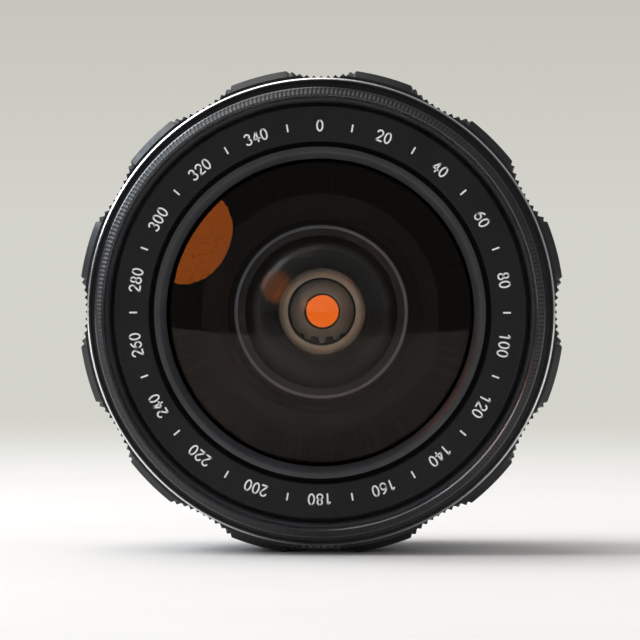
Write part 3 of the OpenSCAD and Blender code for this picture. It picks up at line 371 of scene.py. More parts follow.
# CAD nodes keep their shape and take a detailed finish by their slot, or by their own name
slotFinish = {
    "black_anodised": "satinBlack", "inner_black": "innerBlack", "mount_metal": "mountAlloy",
    "bright_edge": "brightEdge", "bezel_grey": "bezelGrey", "steel": "plainSteel",
    "spring_steel": "springSteel", "brass": "turnedBrass", "turret_metal": "turretGreyAndPaintedLight",
    "blade_steel": "bladeBlack", "coated_glass": "innerGlass", "orange_glass": "orangeGlass",
    "yellow_glass": "yellowGlass", "clear_glass": "clearGlass",
}
# The pair's retaining ring takes this grey as painted light, which widens the lit ring seen inside the lens
# The second glass's retaining ring takes a painted highlight band
nodeFinish = {"second_retaining_ring": "paintedHighlightRing", "pair_retaining_ring": "turretGreyAndPaintedLight"}

# Focus grip: a smooth skirt, then flat lands with toothed hollows between them
grip = dict(radius=35.0, lands=12, landShare=0.48, landCorner=0.5, landSteps=9, hollow=1.1, teeth=9,
            tooth=0.45, flatTip=0.06, chamfer=0.9, skirtRadius=33.2, skirtLength=4.4, skirtEdge=0.15,
            boreRadius=32.22, seatRadius=33.05, seatHeight=0.45, lipRadius=30.0, lipBack=1.1)


# Outline of the grip: a land has the full radius; a hollow is an arc through the land corners,
# lowered by a clipped triangle wave that makes its teeth
def gripOutline(v):
    pitch = fullTurn / v["lands"]
    landHalf = pitch * v["landShare"] / 2
    half = pitch / 2 - landHalf
    step = np.add.outer(np.arange(2 * v["teeth"]), [0, v["flatTip"], 1 - v["flatTip"]]).ravel()
    a = (step / v["teeth"] - 1) * half
    low = v["radius"] - v["hollow"]
    rise = v["radius"] * math.cos(half) - low
    curve = ((v["radius"] * math.sin(half)) ** 2 + rise ** 2) / (2 * rise)
    arc = (low + curve) * np.cos(a) - np.sqrt(curve ** 2 - ((low + curve) * np.sin(a)) ** 2)
    wave = np.abs((step + 1) % 2 - 1)
    wave = np.clip((wave - v["flatTip"]) / (1 - 2 * v["flatTip"]), 0, 1)
    land = np.linspace(-1, 1, v["landSteps"]) * (landHalf - math.radians(v["landCorner"]))
    angle = np.concatenate([land, pitch / 2 + a])
    r = np.concatenate([land * 0 + v["radius"], arc - v["tooth"] * (1 - wave)])
    middles = (np.arange(v["lands"]) + 0.5) * pitch
    return np.add.outer(middles, angle).ravel(), np.tile(r, v["lands"])


# Columns of the grip's profile: the outline where the grip runs, plain circles elsewhere
def focusGrip(v):
    back = ringSize("focus_ring")[1]
    gripBack = back + v["skirtLength"]
    gripFront = ringSize("focus_edge_ring")[1]
    seatFront = gripFront + v["seatHeight"]
    lip = gripFront - v["lipBack"]
    angle, outline = gripOutline(v)
    ends = np.minimum(outline, v["radius"] - v["chamfer"])
    return columnRing("focusGrip", angle, [
        (v["boreRadius"], back), (v["skirtRadius"] - v["skirtEdge"], back),
        (v["skirtRadius"], back + v["skirtEdge"]), (v["skirtRadius"], gripBack),
        (ends, gripBack), (outline, gripBack + v["chamfer"]),
        (outline, gripFront - v["chamfer"]), (ends, gripFront),
        (v["seatRadius"], gripFront), (v["seatRadius"], seatFront),
        (v["lipRadius"], seatFront), (v["lipRadius"], lip), (v["boreRadius"], lip),
    ])


fit(focusGrip(grip), finish["satinBlack"], "focus", "black_anodised", "focus_ring")

# Edge ring: black, with its turned bevel left bright
edgeRing = dict(face=0.58, bevel=0.24, bevelCorner=2, round=0.05, steps=3, rows=360)


def brightRing(v):
    r, back, front = ringSize("focus_edge_ring")
    profile = rounded([(r - v["face"], back), (r, back), (r, front - v["bevel"]), (r - v["bevel"], front),
                       (r - v["face"], front)], v["round"], v["steps"])
    piece = ringPiece("edgeRing", turns(v["rows"]), *profile.T[:, None, :])
    fit(piece, finish["satinBlack"], "focus", "bright_edge", "focus_edge_ring")
    bevel = sideColumns(v["bevelCorner"], v["steps"])
    paintColumns(piece, v["rows"], len(profile), (finish["brightEdge"], *bevel))


brightRing(edgeRing)

# Filter ring: sleeve with inner gear teeth, and a head with a finely serrated bevel
filterHead = dict(gearTeeth=56, gearRoot=28.75, gearTip=27.4, gearHeight=3.9, perTooth=23, toothTip=0.24,
                  toothFlank=0.3, serrations=322, serration=0.15, serrationFoot=0.03,
                  serrationTop=(0.12, 0.06), bevelWide=1.0, bevelHigh=0.8,
                  crest=((0.02, 0.01), (-0.04, 0.0), (-0.1, 0.04)),
                  sleeveRadius=29.3, sleeveBore=27.05, headBack=27.6, webFront=28.4, coneFoot=29.8,
                  footRound=0.05, footRise=0.06, round=0.12, outerEdge=0.2, innerEdge=0.5)


# The bevel's radius carries a triangle wave, one per serration; the sleeve's back part carries the
# gear's straight-sided teeth as a clipped triangle wave. The outer and inner edge of the bevel are
# glossy, and the conical wall inside has a lighter black, whose extra lightness is a painted reflection.
def serratedHead(v):
    r, back, front = ringSize("filter_ring")
    rows = v["gearTeeth"] * v["perTooth"]
    angle = turns(rows)
    wave = triangleWave(angle, v["serrations"]) * v["serration"]
    gear = np.clip((triangleWave(angle, v["gearTeeth"]) - v["toothTip"]) / v["toothFlank"], 0, 1)
    toothed = v["gearTip"] + (v["gearRoot"] - v["gearTip"]) * gear
    gearFront = back + v["gearHeight"]
    bevelBack = front - v["bevelHigh"]
    bevelFoot = r - v["outerEdge"]
    top = r - v["bevelWide"]
    topOut, topDown = v["serrationTop"]
    sleeve = [(toothed, back), (v["sleeveRadius"], back), (v["sleeveRadius"], v["headBack"]),
              (r - v["round"], v["headBack"]), (r, v["headBack"] + v["round"])]
    bevel = [(r, bevelBack - v["outerEdge"]), (bevelFoot, bevelBack),
             (bevelFoot - wave, bevelBack + v["serrationFoot"]), (top + topOut - wave, front - topDown)]
    crest = [(top + out, front - down) for out, down in v["crest"]]
    edgeRadius, edgeLevel = crest[-1]
    cone = [(edgeRadius - v["innerEdge"], edgeLevel - v["innerEdge"]),
            (v["coneFoot"] + v["footRound"], v["webFront"] + v["footRise"]),
            (v["coneFoot"] - v["footRound"], v["webFront"])]
    bore = [(v["sleeveBore"], v["webFront"]), (v["sleeveBore"], gearFront), (toothed, gearFront)]
    columns = sleeve + bevel + crest + cone + bore
    piece = columnRing("filterHead", angle, columns)
    fit(piece, finish["satinBlack"], "filter", "black_anodised", "filter_ring")
    outer = len(sleeve)
    wall = len(sleeve + bevel + crest)
    paintColumns(piece, rows, len(columns), (finish["glossBlack"], outer, outer + 1),
                 (finish["glossBlack"], wall - 1, wall), (finish["wallBlackPaintedReflection"], wall, wall + 1))


serratedHead(filterHead)

# Name ring: flat, with bevelled edges, of which the outer one is glossy
nameRing = dict(inner=24.4, bevel=0.2, bevelCorner=2, round=0.06, steps=3, rows=360)


def flatRing(v):
    r, back, front = ringSize("name_ring")
    profile = rounded([(v["inner"], back), (r, back), (r, front - v["bevel"]), (r - v["bevel"], front),
                       (v["inner"] + v["bevel"], front), (v["inner"], front - v["bevel"])],
                      v["round"], v["steps"])
    piece = ringPiece("nameRing", turns(v["rows"]), *profile.T[:, None, :])
    fit(piece, finish["enamelBlack"], "optics", "black_anodised", "name_ring")
    bevel = sideColumns(v["bevelCorner"], v["steps"])
    paintColumns(piece, v["rows"], len(profile), (finish["glossBlack"], *bevel))


flatRing(nameRing)

# Front retaining ring: a grey bevel that rises from the glass to a flat crest
bezel = dict(inner=22.0, crest=0.8, lipHigh=0.4, lipLevel=29.09, shade=22.9, round=0.08, steps=4, rows=360)


def retainingRing(v):
    r, back, front = ringSize("front_retaining_ring")
    lip = v["lipLevel"]
    profile = rounded([(v["inner"], lip), (v["shade"], lip), (v["shade"], back), (r, back), (r, front),
                       (r - v["crest"], front), (v["inner"], lip + v["lipHigh"])], v["round"], v["steps"])
    return ringPiece("frontBezel", turns(v["rows"]), *profile.T[:, None, :])


fit(retainingRing(bezel), finish["bezelGrey"], "optics", "bezel_grey", "front_retaining_ring")
print("front rings made")

# Lens elements: each face is a sphere cap, height = sqrt(R^2 - r^2) - R below its middle.
# A flat face is a cap with a very large R, in mm.
capSteps = 24
lensRows = 192
lensSharp = 25
flatCurve = 1e6


def capLine(middle, curve, reach, count=capSteps):
    r = np.linspace(0, reach, count)
    return np.stack([r, middle + np.sign(curve) * (np.sqrt(curve ** 2 - r ** 2) - abs(curve))], axis=1)


def curveOf(reach, rise):
    return (reach ** 2 + rise ** 2) / (2 * rise)


# Profile of a lens: back cap from the axis to its own reach, a flat step out to the full radius where
# the cap ends before it, then the front cap back to the axis
def lensPiece(name, radius, backCap, frontCap):
    reach, level = backCap[-1]
    step = np.array([[radius, level]] if reach < radius else []).reshape(-1, 2)
    return solidPiece(name, lensRows, np.concatenate([backCap, step, frontCap[::-1]]), lensSharp)


frontLens = dict(radius=22.8, clear=22.0, dome=5.0, domeSteps=40, hollowReach=14.0, hollow=6.15, paintFrom=20)
secondLens = dict(radius=12.5, dome=2.73, hollowReach=9.5, hollow=6.03, thick=1.6, paintFrom=17)
pairLens = dict(radius=7.5, dome=1.46, join=1.87, split=1.4, gap=0.01)
rearLens = dict(pairs=3, radius=9.5, gap=0.01)


def frontElement(v):
    back, vertex = ringSize("front_element")[1:]
    hollow = capLine(back + v["hollow"], curveOf(v["hollowReach"], v["hollow"]), v["hollowReach"])
    dome = capLine(vertex, curveOf(v["clear"], v["dome"]), v["radius"], v["domeSteps"])
    return lensPiece("frontElement", v["radius"], hollow, dome)


def secondElement(v):
    vertex = ringSize("second_element")[2]
    hollow = capLine(vertex - v["thick"], curveOf(v["hollowReach"], v["hollow"]), v["hollowReach"])
    dome = capLine(vertex, curveOf(v["radius"], v["dome"]), v["radius"])
    return lensPiece("secondElement", v["radius"], hollow, dome)


# Cemented pairs: a thin cement gap keeps the two joined faces from lying on each other
def pairGlasses(v):
    back = ringSize("pair_rear_glass")[1]
    vertex = ringSize("pair_front_glass")[2]
    join = curveOf(v["radius"], v["join"])
    middle = back + v["split"] + v["join"]
    floor = capLine(back, flatCurve, v["radius"], 2)
    rearGlass = lensPiece("pairRearGlass", v["radius"], floor, capLine(middle, join, v["radius"]))
    frontGlass = lensPiece("pairFrontGlass", v["radius"], capLine(middle + v["gap"], join, v["radius"]),
                           capLine(vertex, curveOf(v["radius"], v["dome"]), v["radius"]))
    return rearGlass, frontGlass


def rearGlasses(v, k):
    backNode, frontNode = f"rear_glass_{2 * k + 1}", f"rear_glass_{2 * k + 2}"
    back, top = ringSize(frontNode)[1:]
    middle = ringSize(backNode)[2]
    join = curveOf(v["radius"], top - back)
    reach = math.sqrt(join ** 2 - (join - (middle - back)) ** 2)
    dome = capLine(middle, join, reach)
    profile = np.concatenate([[[0, back]], dome[::-1]])
    backGlass = solidPiece(f"rearGlass{2 * k + 1}", lensRows, profile, lensSharp)
    hollow = capLine(middle + v["gap"], join, reach)
    lid = capLine(top, flatCurve, v["radius"], 2)
    frontGlass = lensPiece(f"rearGlass{2 * k + 2}", v["radius"], hollow, lid)
    fit(backGlass, finish["innerGlass"], "optics", "coated_glass", backNode)
    fit(frontGlass, finish["innerGlass"], "optics", "coated_glass", frontNode)


# The back of the two meniscus glasses is painted black from some way up the hollow out to the rim
shinyGlasses = []
for piece, node, look, paintFrom in (
        (frontElement(frontLens), "front_element", "coatedGlass", frontLens["paintFrom"]),
        (secondElement(secondLens), "second_element", "secondGlass", secondLens["paintFrom"])):
    fit(piece, finish[look], "optics", "coated_glass", node)
    shinyGlasses.append(piece)
    columns = len(piece.data.vertices) // lensRows - 1
    paintColumns(piece, lensRows, columns, (finish["secondGlass"], 0, paintFrom),
                 (finish["rimPaint"], paintFrom, capSteps))
pairRear, pairFront = pairGlasses(pairLens)
fit(pairRear, finish["innerGlass"], "optics", "coated_glass", "pair_rear_glass")
fit(pairFront, finish["pairGlass"], "optics", "coated_glass", "pair_front_glass")
for k in range(rearLens["pairs"]):
    rearGlasses(rearLens, k)
print("glasses made")

# Aperture ring: finger grooves on its back half, a smooth band for the stop numbers in front
stopRing = dict(bore=24.05, bevel=0.3, grooves=48, groove=0.45, grooveRadius=0.7, perGroove=16,
                grooveEnd=0.01)


# A groove is a round cut: its depth at an angle is that of a circle that stands outside the ring
def groovedRing(v):
    r, back, front = ringSize("aperture_ring")
    rows = v["grooves"] * v["perGroove"]
    angle = turns(rows)
    pitch = fullTurn / v["grooves"]
    across = ((angle / pitch) % 1 - 0.5) * pitch
    centre = r + v["grooveRadius"] - v["groove"]
    reach = np.maximum(v["grooveRadius"] ** 2 - (centre * np.sin(across)) ** 2, 0)
    cutR = np.where(reach > 0, centre * np.cos(across) - np.sqrt(reach), r)
    cutR = np.minimum(cutR, r)
    middle = (back + front) / 2
    return columnRing("apertureRing", angle, [
        (v["bore"], back), (np.minimum(cutR, r - v["bevel"]), back), (cutR, back + v["bevel"]),
        (cutR, middle - v["grooveEnd"]), (r, middle), (r, front - v["bevel"]),
        (r - v["bevel"], front), (v["bore"], front),
    ])


fit(groovedRing(stopRing), finish["satinBlack"], "aperture", "black_anodised", "aperture_ring")

# Depth scale ring: a plain bevelled band between the aperture ring and the focus ring
depthRing = dict(bore=31.02, bevel=0.25, round=0.06, steps=3, rows=360)


def bandRing(v):
    r, back, front = ringSize("depth_scale_ring")
    b = v["bevel"]
    profile = rounded([(v["bore"], back), (r - b, back), (r, back + b), (r, front - b), (r - b, front),
                       (v["bore"], front)], v["round"], v["steps"])
    return ringPiece("depthScaleRing", turns(v["rows"]), *profile.T[:, None, :])


fit(bandRing(depthRing), finish["satinBlack"], "fixed_body", "black_anodised", "depth_scale_ring")

# Mount: flange with a notch for the switch, and a real helical thread
mount = dict(threadRadius=21.0, bore=18.5, pitch=1.0, threadDepth=0.54, threadSlope=1.25, threadCrest=0.12,
             runOut=0.6, fadeFront=0.3, fadeBack=0.2, lead=0.5, leadGap=0.02, endGap=0.01, perPitch=14,
             notchFrom=153.6, notchTo=178.4, notchDepth=3.0, notchFloor=0.7, bevel=0.2, rows=720)


# Thread: radius falls by a clipped triangle wave of (height / pitch + angle / turn), which fades at
# both ends, and by the lead chamfer at the back. The seat is at level 0. The notch lowers the
# flange's front rim between two angles.
def threadedMount(v):
    r, back, front = ringSize("mount_ring")
    angle = turns(v["rows"])
    levels = np.arange(back + v["endGap"], -v["endGap"], v["pitch"] / v["perPitch"])
    thread = []
    for z in levels:
        wave = triangleWave(angle + z / v["pitch"] * fullTurn, 1)
        fade = np.clip((-z - v["runOut"]) / v["fadeFront"], 0, 1) * np.clip((z - back) / v["fadeBack"], 0, 1)
        fall = v["threadDepth"] * np.clip(wave * v["threadSlope"] - v["threadCrest"], 0, 1) * fade
        chamfer = max(v["lead"] - (z - back), 0)
        thread.append((v["threadRadius"] - np.maximum(fall, chamfer), z))
    degrees = np.degrees(angle)
    inNotch = (degrees > v["notchFrom"]) & (degrees < v["notchTo"])
    b = v["bevel"]
    rim = np.where(inNotch, v["notchFloor"], front)
    notchWall = r - v["notchDepth"]
    before = [(v["bore"], back), (v["threadRadius"] - v["lead"] - v["leadGap"], back)]
    after = [
        (r - b, 0), (r, b), (r, rim - b * (1 - inNotch)), (r - b, rim),
        (np.where(inNotch, notchWall, r - 2 * b), rim),
        (np.where(inNotch, notchWall, r - 3 * b), front), (v["bore"], front),
    ]
    return columnRing("mountRing", angle, before + thread + after)


fit(threadedMount(mount), finish["mountAlloy"], "fixed_body", "mount_metal", "mount_ring")

# The finishes of the CAD nodes
for name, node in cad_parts.items():
    slotName = node.data.materials[0].name.split(".")[0]
    node.data.materials[0] = finish[nodeFinish.get(name, slotFinish[slotName])]

# The return spring of the stop-down pin, which shortens by the pin's travel towards its front end, gets a
# mesh of its own, and its back and front levels are read
springBack, springFront = ringSize("pin_spring")[1:]
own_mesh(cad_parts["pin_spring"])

# Painted numbers: a stroke font on cells 1 high, with every stroke given the same number of points
cellWide = 0.6
cellGap = 0.2
strokeSteps = np.linspace(0, 1, 16)


def line(x0, y0, x1, y1):
    return np.stack([x0 + (x1 - x0) * strokeSteps, y0 + (y1 - y0) * strokeSteps], axis=1)


def arc(x, y, wide, high, fromDeg, toDeg):
    a = np.radians(fromDeg + (toDeg - fromDeg) * strokeSteps)
    return np.stack([x + wide * np.cos(a), y + high * np.sin(a)], axis=1)


glyphs = {
    "0": [arc(0.3, 0.5, 0.27, 0.5, 90, 450)],
    "1": [line(0.14, 0.8, 0.36, 1), line(0.36, 1, 0.36, 0)],
    "2": [arc(0.3, 0.73, 0.26, 0.27, 165, -35), line(0.513, 0.575, 0.04, 0), line(0.04, 0, 0.58, 0)],
    "3": [arc(0.28, 0.76, 0.23, 0.24, 150, -90), arc(0.28, 0.26, 0.28, 0.26, 90, -150)],
    "4": [line(0.42, 0, 0.42, 1), line(0.42, 1, 0.02, 0.28), line(0.02, 0.28, 0.6, 0.28)],
    "5": [line(0.53, 1, 0.12, 1), line(0.12, 1, 0.07, 0.54), arc(0.28, 0.32, 0.28, 0.32, 135, -145)],
    "6": [arc(0.3, 0.3, 0.27, 0.3, 0, 360), arc(0.71, 0.3, 0.68, 0.72, 180, 112)],
    "7": [line(0.04, 1, 0.57, 1), line(0.57, 1, 0.2, 0)],
    "8": [arc(0.3, 0.75, 0.22, 0.25, 90, 450), arc(0.3, 0.25, 0.27, 0.25, 90, 450)],
    "9": [arc(0.3, 0.7, 0.27, 0.3, 0, 360), arc(-0.11, 0.7, 0.68, 0.72, 0, -68)],
    ".": [line(0.14, 0.02, 0.16, 0.02)],
    "far": [arc(0.2, 0.5, 0.24, 0.22, 0, 360), arc(0.68, 0.5, 0.24, 0.22, 180, 540)],
    "tick": [line(0, 0, 0, 1)],
}
advance = {".": 0.38, "far": 0.9, "tick": 0.0}


# Strokes of a word centred on its place, as (stroke, point, 2) in mm
def wordStrokes(word, high):
    keys = [word] if word in advance else list(word)
    step = np.array([advance.get(key, cellWide) + cellGap for key in keys])
    starts = np.concatenate([[0], np.cumsum(step)[:-1]])
    width = step.sum() - cellGap
    parts = [stroke + (start - width / 2, -0.5) for key, start in zip(keys, starts) for stroke in glyphs[key]]
    return np.array(parts) * high


endAngles = (20, 45, 65, 84)


# A stroke is a flat ribbon with round ends: the path runs on past each end while the width shrinks
# as the cosine of the end's angle. Section: left low, right low, right high, left high.
def ribbons(strokes, wide, rise):
    way = np.gradient(strokes, axis=1)
    way /= np.linalg.norm(way, axis=2, keepdims=True)
    turn = np.radians(endAngles)
    ahead = np.sin(turn)[None, :, None] * wide / 2
    before = strokes[:, :1] - way[:, :1] * ahead[:, ::-1]
    after = strokes[:, -1:] + way[:, -1:] * ahead
    path = np.concatenate([before, strokes, after], axis=1)
    share = np.concatenate([np.cos(turn)[::-1], np.ones(strokes.shape[1]), np.cos(turn)])
    firstWay, lastWay = (np.repeat(end, len(turn), axis=1) for end in (way[:, :1], way[:, -1:]))
    way = np.concatenate([firstWay, way, lastWay], axis=1)
    left = np.stack([-way[..., 1], way[..., 0]], axis=-1) * (share * wide / 2)[None, :, None]
    flat = np.stack([path + left, path - left, path - left, path + left], axis=2)
    level = np.broadcast_to(np.array([-rise, -rise, rise, rise])[:, None], flat.shape[:3] + (1,))
    return np.concatenate([flat, level], axis=-1)


# Quads round each ribbon's four long edges, and its two closed ends
def ribbonFaces(count, length):
    i = np.arange(length - 1)[:, None]
    k = np.arange(4)[None, :]
    kNext = (k + 1) % 4
    sides = np.stack([4 * i + k, 4 * i + 4 + k, 4 * i + 4 + kNext, 4 * i + kNext], axis=-1).reshape(-1, 4)
    last = 4 * (length - 1)
    one = np.concatenate([sides, [[0, 1, 2, 3]], [[last + 3, last + 2, last + 1, last]]])
    return (one[None] + (np.arange(count) * 4 * length)[:, None, None]).reshape(-1, 4)


paintThick = 0.015
paintSharp = 40


# Lays marks on a flat face that looks forwards (tops outwards, read clockwise) or on a cylinder
# (tops forwards). marks holds (word, degrees, height in mm, middle of the word across its band).
def paintMarks(name, marks, wide, flatLevel=None, radius=None):
    bands = []
    for word, degrees, high, middle in marks:
        u, v, h = np.moveaxis(ribbons(wordStrokes(word, high), wide, paintThick), -1, 0)
        if radius is None:
            r, z = middle + v, flatLevel + h
            a = math.radians(degrees) - u / middle
        else:
            r, z = radius + h, middle + v
            a = math.radians(degrees) + u / radius
        bands.append(np.stack([r * np.cos(a), -z, r * np.sin(a)], axis=-1) * mm)
    points = np.concatenate(bands)
    return newPiece(name, points, ribbonFaces(*points.shape[:2]).tolist(), paintSharp)


# Where the index line and the dial's zero stand, in degrees
topAngle = 90.0

# Degree dial on the name ring
dial = dict(step=20, high=1.5, middle=26.7, stroke=0.24, tickHigh=0.9)
dialMarks = [(str(n), topAngle - n, dial["high"], dial["middle"]) for n in range(0, 360, dial["step"])]
dialMarks += [("tick", topAngle - n, dial["tickHigh"], dial["middle"])
              for n in range(dial["step"] // 2, 360, dial["step"])]
fit(paintMarks("dialNumbers", dialMarks, dial["stroke"], flatLevel=ringSize("name_ring")[2]),
    finish["markWhite"], "optics", "bezel_grey")

# Distance scale on the skirt: a mark comes under the index when the ring has turned by its angle, which
# grows as one over the distance. A small gap sets the far numbers apart from the far mark.
distance = dict(high=1.35, level=2.75, tickHigh=0.7, tickLevel=0.95, stroke=0.2, turn=100.0,
                nearest=0.2, farGap=5.0, far="far",
                values=("3", "1.5", "1", "0.7", "0.5", "0.4", "0.3", "0.25", "0.2"))


def distanceScale(v):
    places = {v["far"]: topAngle}
    for word in v["values"]:
        away = v["turn"] * v["nearest"] / float(word)
        places[word] = topAngle - away - v["farGap"] * (1 - away / v["turn"])
    skirtBack = ringSize("focus_ring")[1]
    for word, place in places.items():
        yield word, place, v["high"], skirtBack + v["level"]
        yield "tick", place, v["tickHigh"], skirtBack + v["tickLevel"]


distancePiece = paintMarks("distanceNumbers", distanceScale(distance), distance["stroke"],
                           radius=grip["skirtRadius"])
fit(distancePiece, finish["markWhite"], "focus", "bezel_grey")

# Depth scale: pairs of stops either side of the index line
depth = dict(high=0.95, stroke=0.15, stops={"4": 5, "8": 10, "11": 15, "16": 22, "22": 31},
             lineHigh=1.3, lineWide=0.35)
depthRadius, depthBack, depthFront = ringSize("depth_scale_ring")
depthMiddle = (depthBack + depthFront) / 2
depthMarks = [(word, topAngle + side * away, depth["high"], depthMiddle)
              for word, away in depth["stops"].items() for side in (-1, 1)]
fit(paintMarks("depthNumbers", depthMarks, depth["stroke"], radius=depthRadius),
    finish["markWhite"], "fixed_body", "bezel_grey")
indexMark = ("tick", topAngle, depth["lineHigh"], depthMiddle)
fit(paintMarks("indexLine", [indexMark], depth["lineWide"], radius=depthRadius),
    finish["markOrange"], "fixed_body", "orange_glass")

# Stop numbers on the aperture ring's smooth band
stops = dict(high=1.1, belowFront=1.05, stroke=0.17, turn=55.0,
             values=("4", "5.6", "8", "11", "16", "22"))
stopRadius, _, stopFront = ringSize("aperture_ring")
stopStep = stops["turn"] / (len(stops["values"]) - 1)
stopMarks = [(word, topAngle - stopStep * k, stops["high"], stopFront - stops["belowFront"])
             for k, word in enumerate(stops["values"])]
fit(paintMarks("stopNumbers", stopMarks, stops["stroke"], radius=stopRadius),
    finish["markWhite"], "aperture", "bezel_grey")
print("scales painted")

# Floor: a wide round sheet of pale paper that fades into the backdrop's grey away from the object
floorSheet = dict(radius=3.0, rings=40, spokes=96, firstRing=0.02, sharp=60, centre=(0.0, -0.12, 0.0),
                  fadeFrom=0.17, fadeTo=0.6, darkBefore=-0.23, mirrored=0.4, behind=1.4,
                  tone=(0.86, 0.82, 0.785, 1), drift=0.97, cloud=25, rough=0.7, specular=0.2,
                  far=(0.655, 0.655, 0.6, 1))


# Disc as a polar grid: rings spread out as the square of their number, and one face closes the middle
def floorPiece(v):
    r = np.linspace(v["firstRing"], 1, v["rings"])[None, :] ** 2 * v["radius"]
    a = turns(v["spokes"])[:, None]
    points = np.stack([r * np.cos(a), r * np.sin(a), 0 * r * a + cadBox[0][2]], axis=-1)
    middle = np.arange(v["spokes"]) * v["rings"]
    quads = gridQuads(v["spokes"], v["rings"], False)[:, ::-1]
    return newPiece("floorSheet", points, quads.tolist() + [middle.tolist()], v["sharp"])


# Near the object the sheet is lit paper, which fades into the backdrop's grey for the camera. A mirrored
# ray that lands well in front of the object sees a dim room there, and a ray that came through glass and
# lands behind the object sees a bright one.
def floorFinish(v):
    material, tree, shader = newMaterial("paleFloor")
    place = addNode(tree, "ShaderNodeVectorMath", operation="SUBTRACT")
    place.inputs[1].default_value = v["centre"]
    fade = addNode(tree, "ShaderNodeMapRange", interpolation_type="SMOOTHSTEP")
    fade.inputs["From Min"].default_value = v["fadeFrom"]
    fade.inputs["From Max"].default_value = v["fadeTo"]
    split = addNode(tree, "ShaderNodeSeparateXYZ")
    path = addNode(tree, "ShaderNodeLightPath")
    tree.links.new(objectPlace(tree), place.inputs[0])
    tree.links.new(objectPlace(tree), split.inputs["Vector"])
    tree.links.new(axisDistance(tree, place.outputs["Vector"], (1, 1, 0)), fade.inputs["Value"])
    mirrored = mathNode(tree, "MULTIPLY", path.outputs["Is Glossy Ray"],
                        mathNode(tree, "LESS_THAN", split.outputs["Y"], v["darkBefore"]))
    through = mathNode(tree, "MULTIPLY", path.outputs["Is Transmission Ray"],
                       mathNode(tree, "GREATER_THAN", split.outputs["Y"], 0.0))
    red, green, blue = (level * v["drift"] for level in v["tone"][:3])
    tone = ramp(tree, noise(tree, v["cloud"], 4), 0.3, 0.7, (red, green, blue, 1), v["tone"])
    tree.links.new(tone, shader.inputs["Base Color"])
    shader.inputs["Roughness"].default_value = v["rough"]
    shader.inputs["Specular IOR Level"].default_value = v["specular"]
    glow = addNode(tree, "ShaderNodeEmission", Color=v["far"])
    dim = mathNode(tree, "MULTIPLY", mirrored, v["mirrored"])
    direct = mathNode(tree, "ADD", path.outputs["Is Camera Ray"], dim)
    bright = mathNode(tree, "MULTIPLY", through, v["behind"], False)
    tree.links.new(mathNode(tree, "ADD", direct, bright, False), glow.inputs["Strength"])
    mix = addNode(tree, "ShaderNodeMixShader")
    faded = mathNode(tree, "MULTIPLY", fade.outputs["Result"], path.outputs["Is Camera Ray"])
    hidden = mathNode(tree, "ADD", through, mirrored)
    tree.links.new(mathNode(tree, "MAXIMUM", faded, hidden), mix.inputs["Fac"])
    tree.links.new(shader.outputs["BSDF"], mix.inputs[1])
    tree.links.new(glow.outputs["Emission"], mix.inputs[2])
    tree.links.new(mix.outputs["Shader"], tree.nodes["Material Output"].inputs["Surface"])
    return material


floor = floorPiece(floorSheet)
floor.data.materials.append(floorFinish(floorSheet))

# Camera: a little to the right of the axis and above it, at about an arm's length. The centre is where the
# lens axis meets the plane of the edge ring, in pixels of a picture as wide as the frame.
view = dict(distance=0.7, azimuth=2.0, elevation=1.2, pixelsPerMm=6.956, frame=640, sensor=36.0,
            centre=(321.0, 312.0), planeNode="focus_edge_ring", clipStart=0.01)


def addCamera(v):
    plane = -ringSize(v["planeNode"])[1]
    scale = v["pixelsPerMm"]
    half = v["frame"] / 2
    aim = np.array([(half - v["centre"][0]) / scale, plane, -(half - v["centre"][1]) / scale]) * mm
    az, el = math.radians(v["azimuth"]), math.radians(v["elevation"])
    away = np.array([math.sin(az) * math.cos(el), -math.cos(az) * math.cos(el), math.sin(el)])
    data = bpy.data.cameras.new("camera")
    data.sensor_width = v["sensor"]
    data.lens = scale * v["distance"] / mm * v["sensor"] / v["frame"]
    data.clip_start = v["clipStart"]
    camera = bpy.data.objects.new("camera", data)
    camera.location = aim + away * v["distance"]
    camera.rotation_euler = (math.pi / 2 - el, 0, az)
    scene.collection.objects.link(camera)
    scene.camera = camera


addCamera(view)

# Soft studio light: a cool window-like panel at the upper left, a warm wide one overhead, and a small
# round orange lamp in front at the left that only shows in the front glasses
lights = {
    "window": dict(place=(-0.75, 0.05, 0.6), size=(0.6, 0.6), power=8, colour=(0.82, 0.91, 1)),
    "overhead": dict(place=(-0.3, 0.15, 0.92), size=(0.9, 0.7), power=4.7, colour=(1, 0.96, 0.9)),
    "lamp": dict(place=(-0.49, -0.43, 0.26), size=(0.36, 0.36), power=3.6, colour=(1, 0.25, 0.03),
                 shape="ELLIPSE", only=shinyGlasses),
}


# An area light that looks at the origin; it may light some pieces only
def addLight(name, v):
    data = bpy.data.lights.new(name, "AREA")
    data.shape = v.get("shape", "RECTANGLE")
    data.size, data.size_y = v["size"]
    data.energy = v["power"]
    data.color = v["colour"]
    lamp = bpy.data.objects.new(name, data)
    if "only" in v:
        lamp.light_linking.receiver_collection = bpy.data.collections.new(name + "Shows")
        for piece in v["only"]:
            lamp.light_linking.receiver_collection.objects.link(piece)
    x, y, z = lamp.location = v["place"]
    lamp.rotation_euler = (math.atan2(math.hypot(x, y), z), 0, math.atan2(x, -y))
    scene.collection.objects.link(lamp)


for name, values in lights.items():
    addLight(name, values)

# Room: soft plain light, dim where it is mirrored and stronger where it comes through glass from in front.
# The camera sees a pale backdrop that greys a little upwards, and a ray that leaves through the back of
# the lens sees a bright one.
room = dict(light=(0.95, 0.97, 1.0, 1), level=0.5, forward=1.2, mirrored=0.28, low=(0.655, 0.655, 0.6, 1),
            high=(0.57, 0.555, 0.505, 1), fadeTo=0.045, behind=(0.92, 0.92, 0.84, 1))


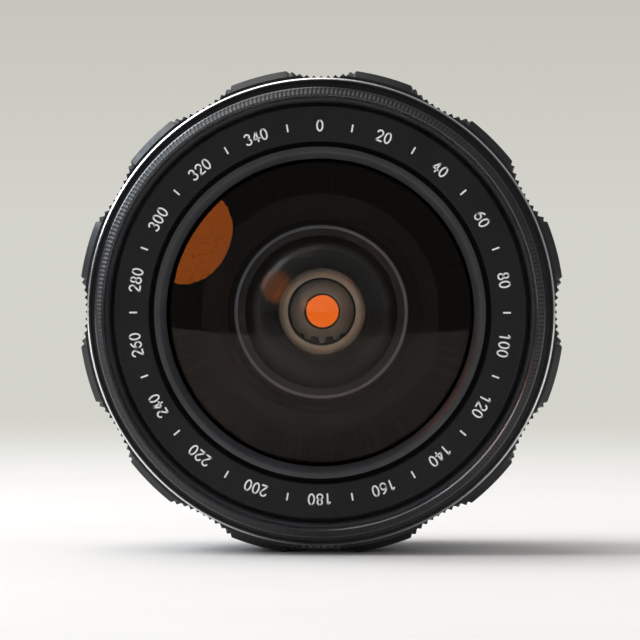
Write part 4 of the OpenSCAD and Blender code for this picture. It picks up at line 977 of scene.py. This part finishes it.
def roomWorld(v):
    world = bpy.data.worlds.new("room")
    world.use_nodes = True
    tree = world.node_tree
    diffuse = tree.nodes["Background"]
    diffuse.inputs["Color"].default_value = v["light"]
    diffuse.inputs["Strength"].default_value = v["level"]
    path = addNode(tree, "ShaderNodeLightPath")
    coords = addNode(tree, "ShaderNodeTexCoord")
    split = addNode(tree, "ShaderNodeSeparateXYZ")
    tree.links.new(coords.outputs["Generated"], split.inputs["Vector"])
    backwards = mathNode(tree, "GREATER_THAN", split.outputs["Y"], 0.0)
    leaving = mathNode(tree, "MULTIPLY", path.outputs["Is Transmission Ray"], backwards)
    fade = addNode(tree, "ShaderNodeMapRange")
    fade.inputs["From Max"].default_value = v["fadeTo"]
    tree.links.new(split.outputs["Z"], fade.inputs["Value"])
    pale = addNode(tree, "ShaderNodeBackground", Strength=1.0)
    tree.links.new(ramp(tree, fade.outputs["Result"], 0, 1, v["low"], v["high"]), pale.inputs["Color"])
    dim = addNode(tree, "ShaderNodeBackground", Color=v["light"], Strength=v["mirrored"])
    inwards = addNode(tree, "ShaderNodeBackground", Color=v["light"], Strength=v["forward"])
    bright = addNode(tree, "ShaderNodeBackground", Color=v["behind"], Strength=1.0)
    shown = diffuse.outputs["Background"]
    for factor, background in ((path.outputs["Is Glossy Ray"], dim),
                               (path.outputs["Is Transmission Ray"], inwards),
                               (leaving, bright), (path.outputs["Is Camera Ray"], pale)):
        mix = addNode(tree, "ShaderNodeMixShader")
        tree.links.new(factor, mix.inputs["Fac"])
        tree.links.new(shown, mix.inputs[1])
        tree.links.new(background.outputs["Background"], mix.inputs[2])
        shown = mix.outputs["Shader"]
    tree.links.new(shown, tree.nodes["World Output"].inputs["Surface"])
    return world


scene.world = roomWorld(room)
scene.view_settings.view_transform = "Standard"
bounces = dict(total=40, glass=36, gloss=8)
scene.cycles.max_bounces = bounces["total"]
scene.cycles.transmission_bounces = bounces["glass"]
scene.cycles.glossy_bounces = bounces["gloss"]
print("stage, camera and lights set")
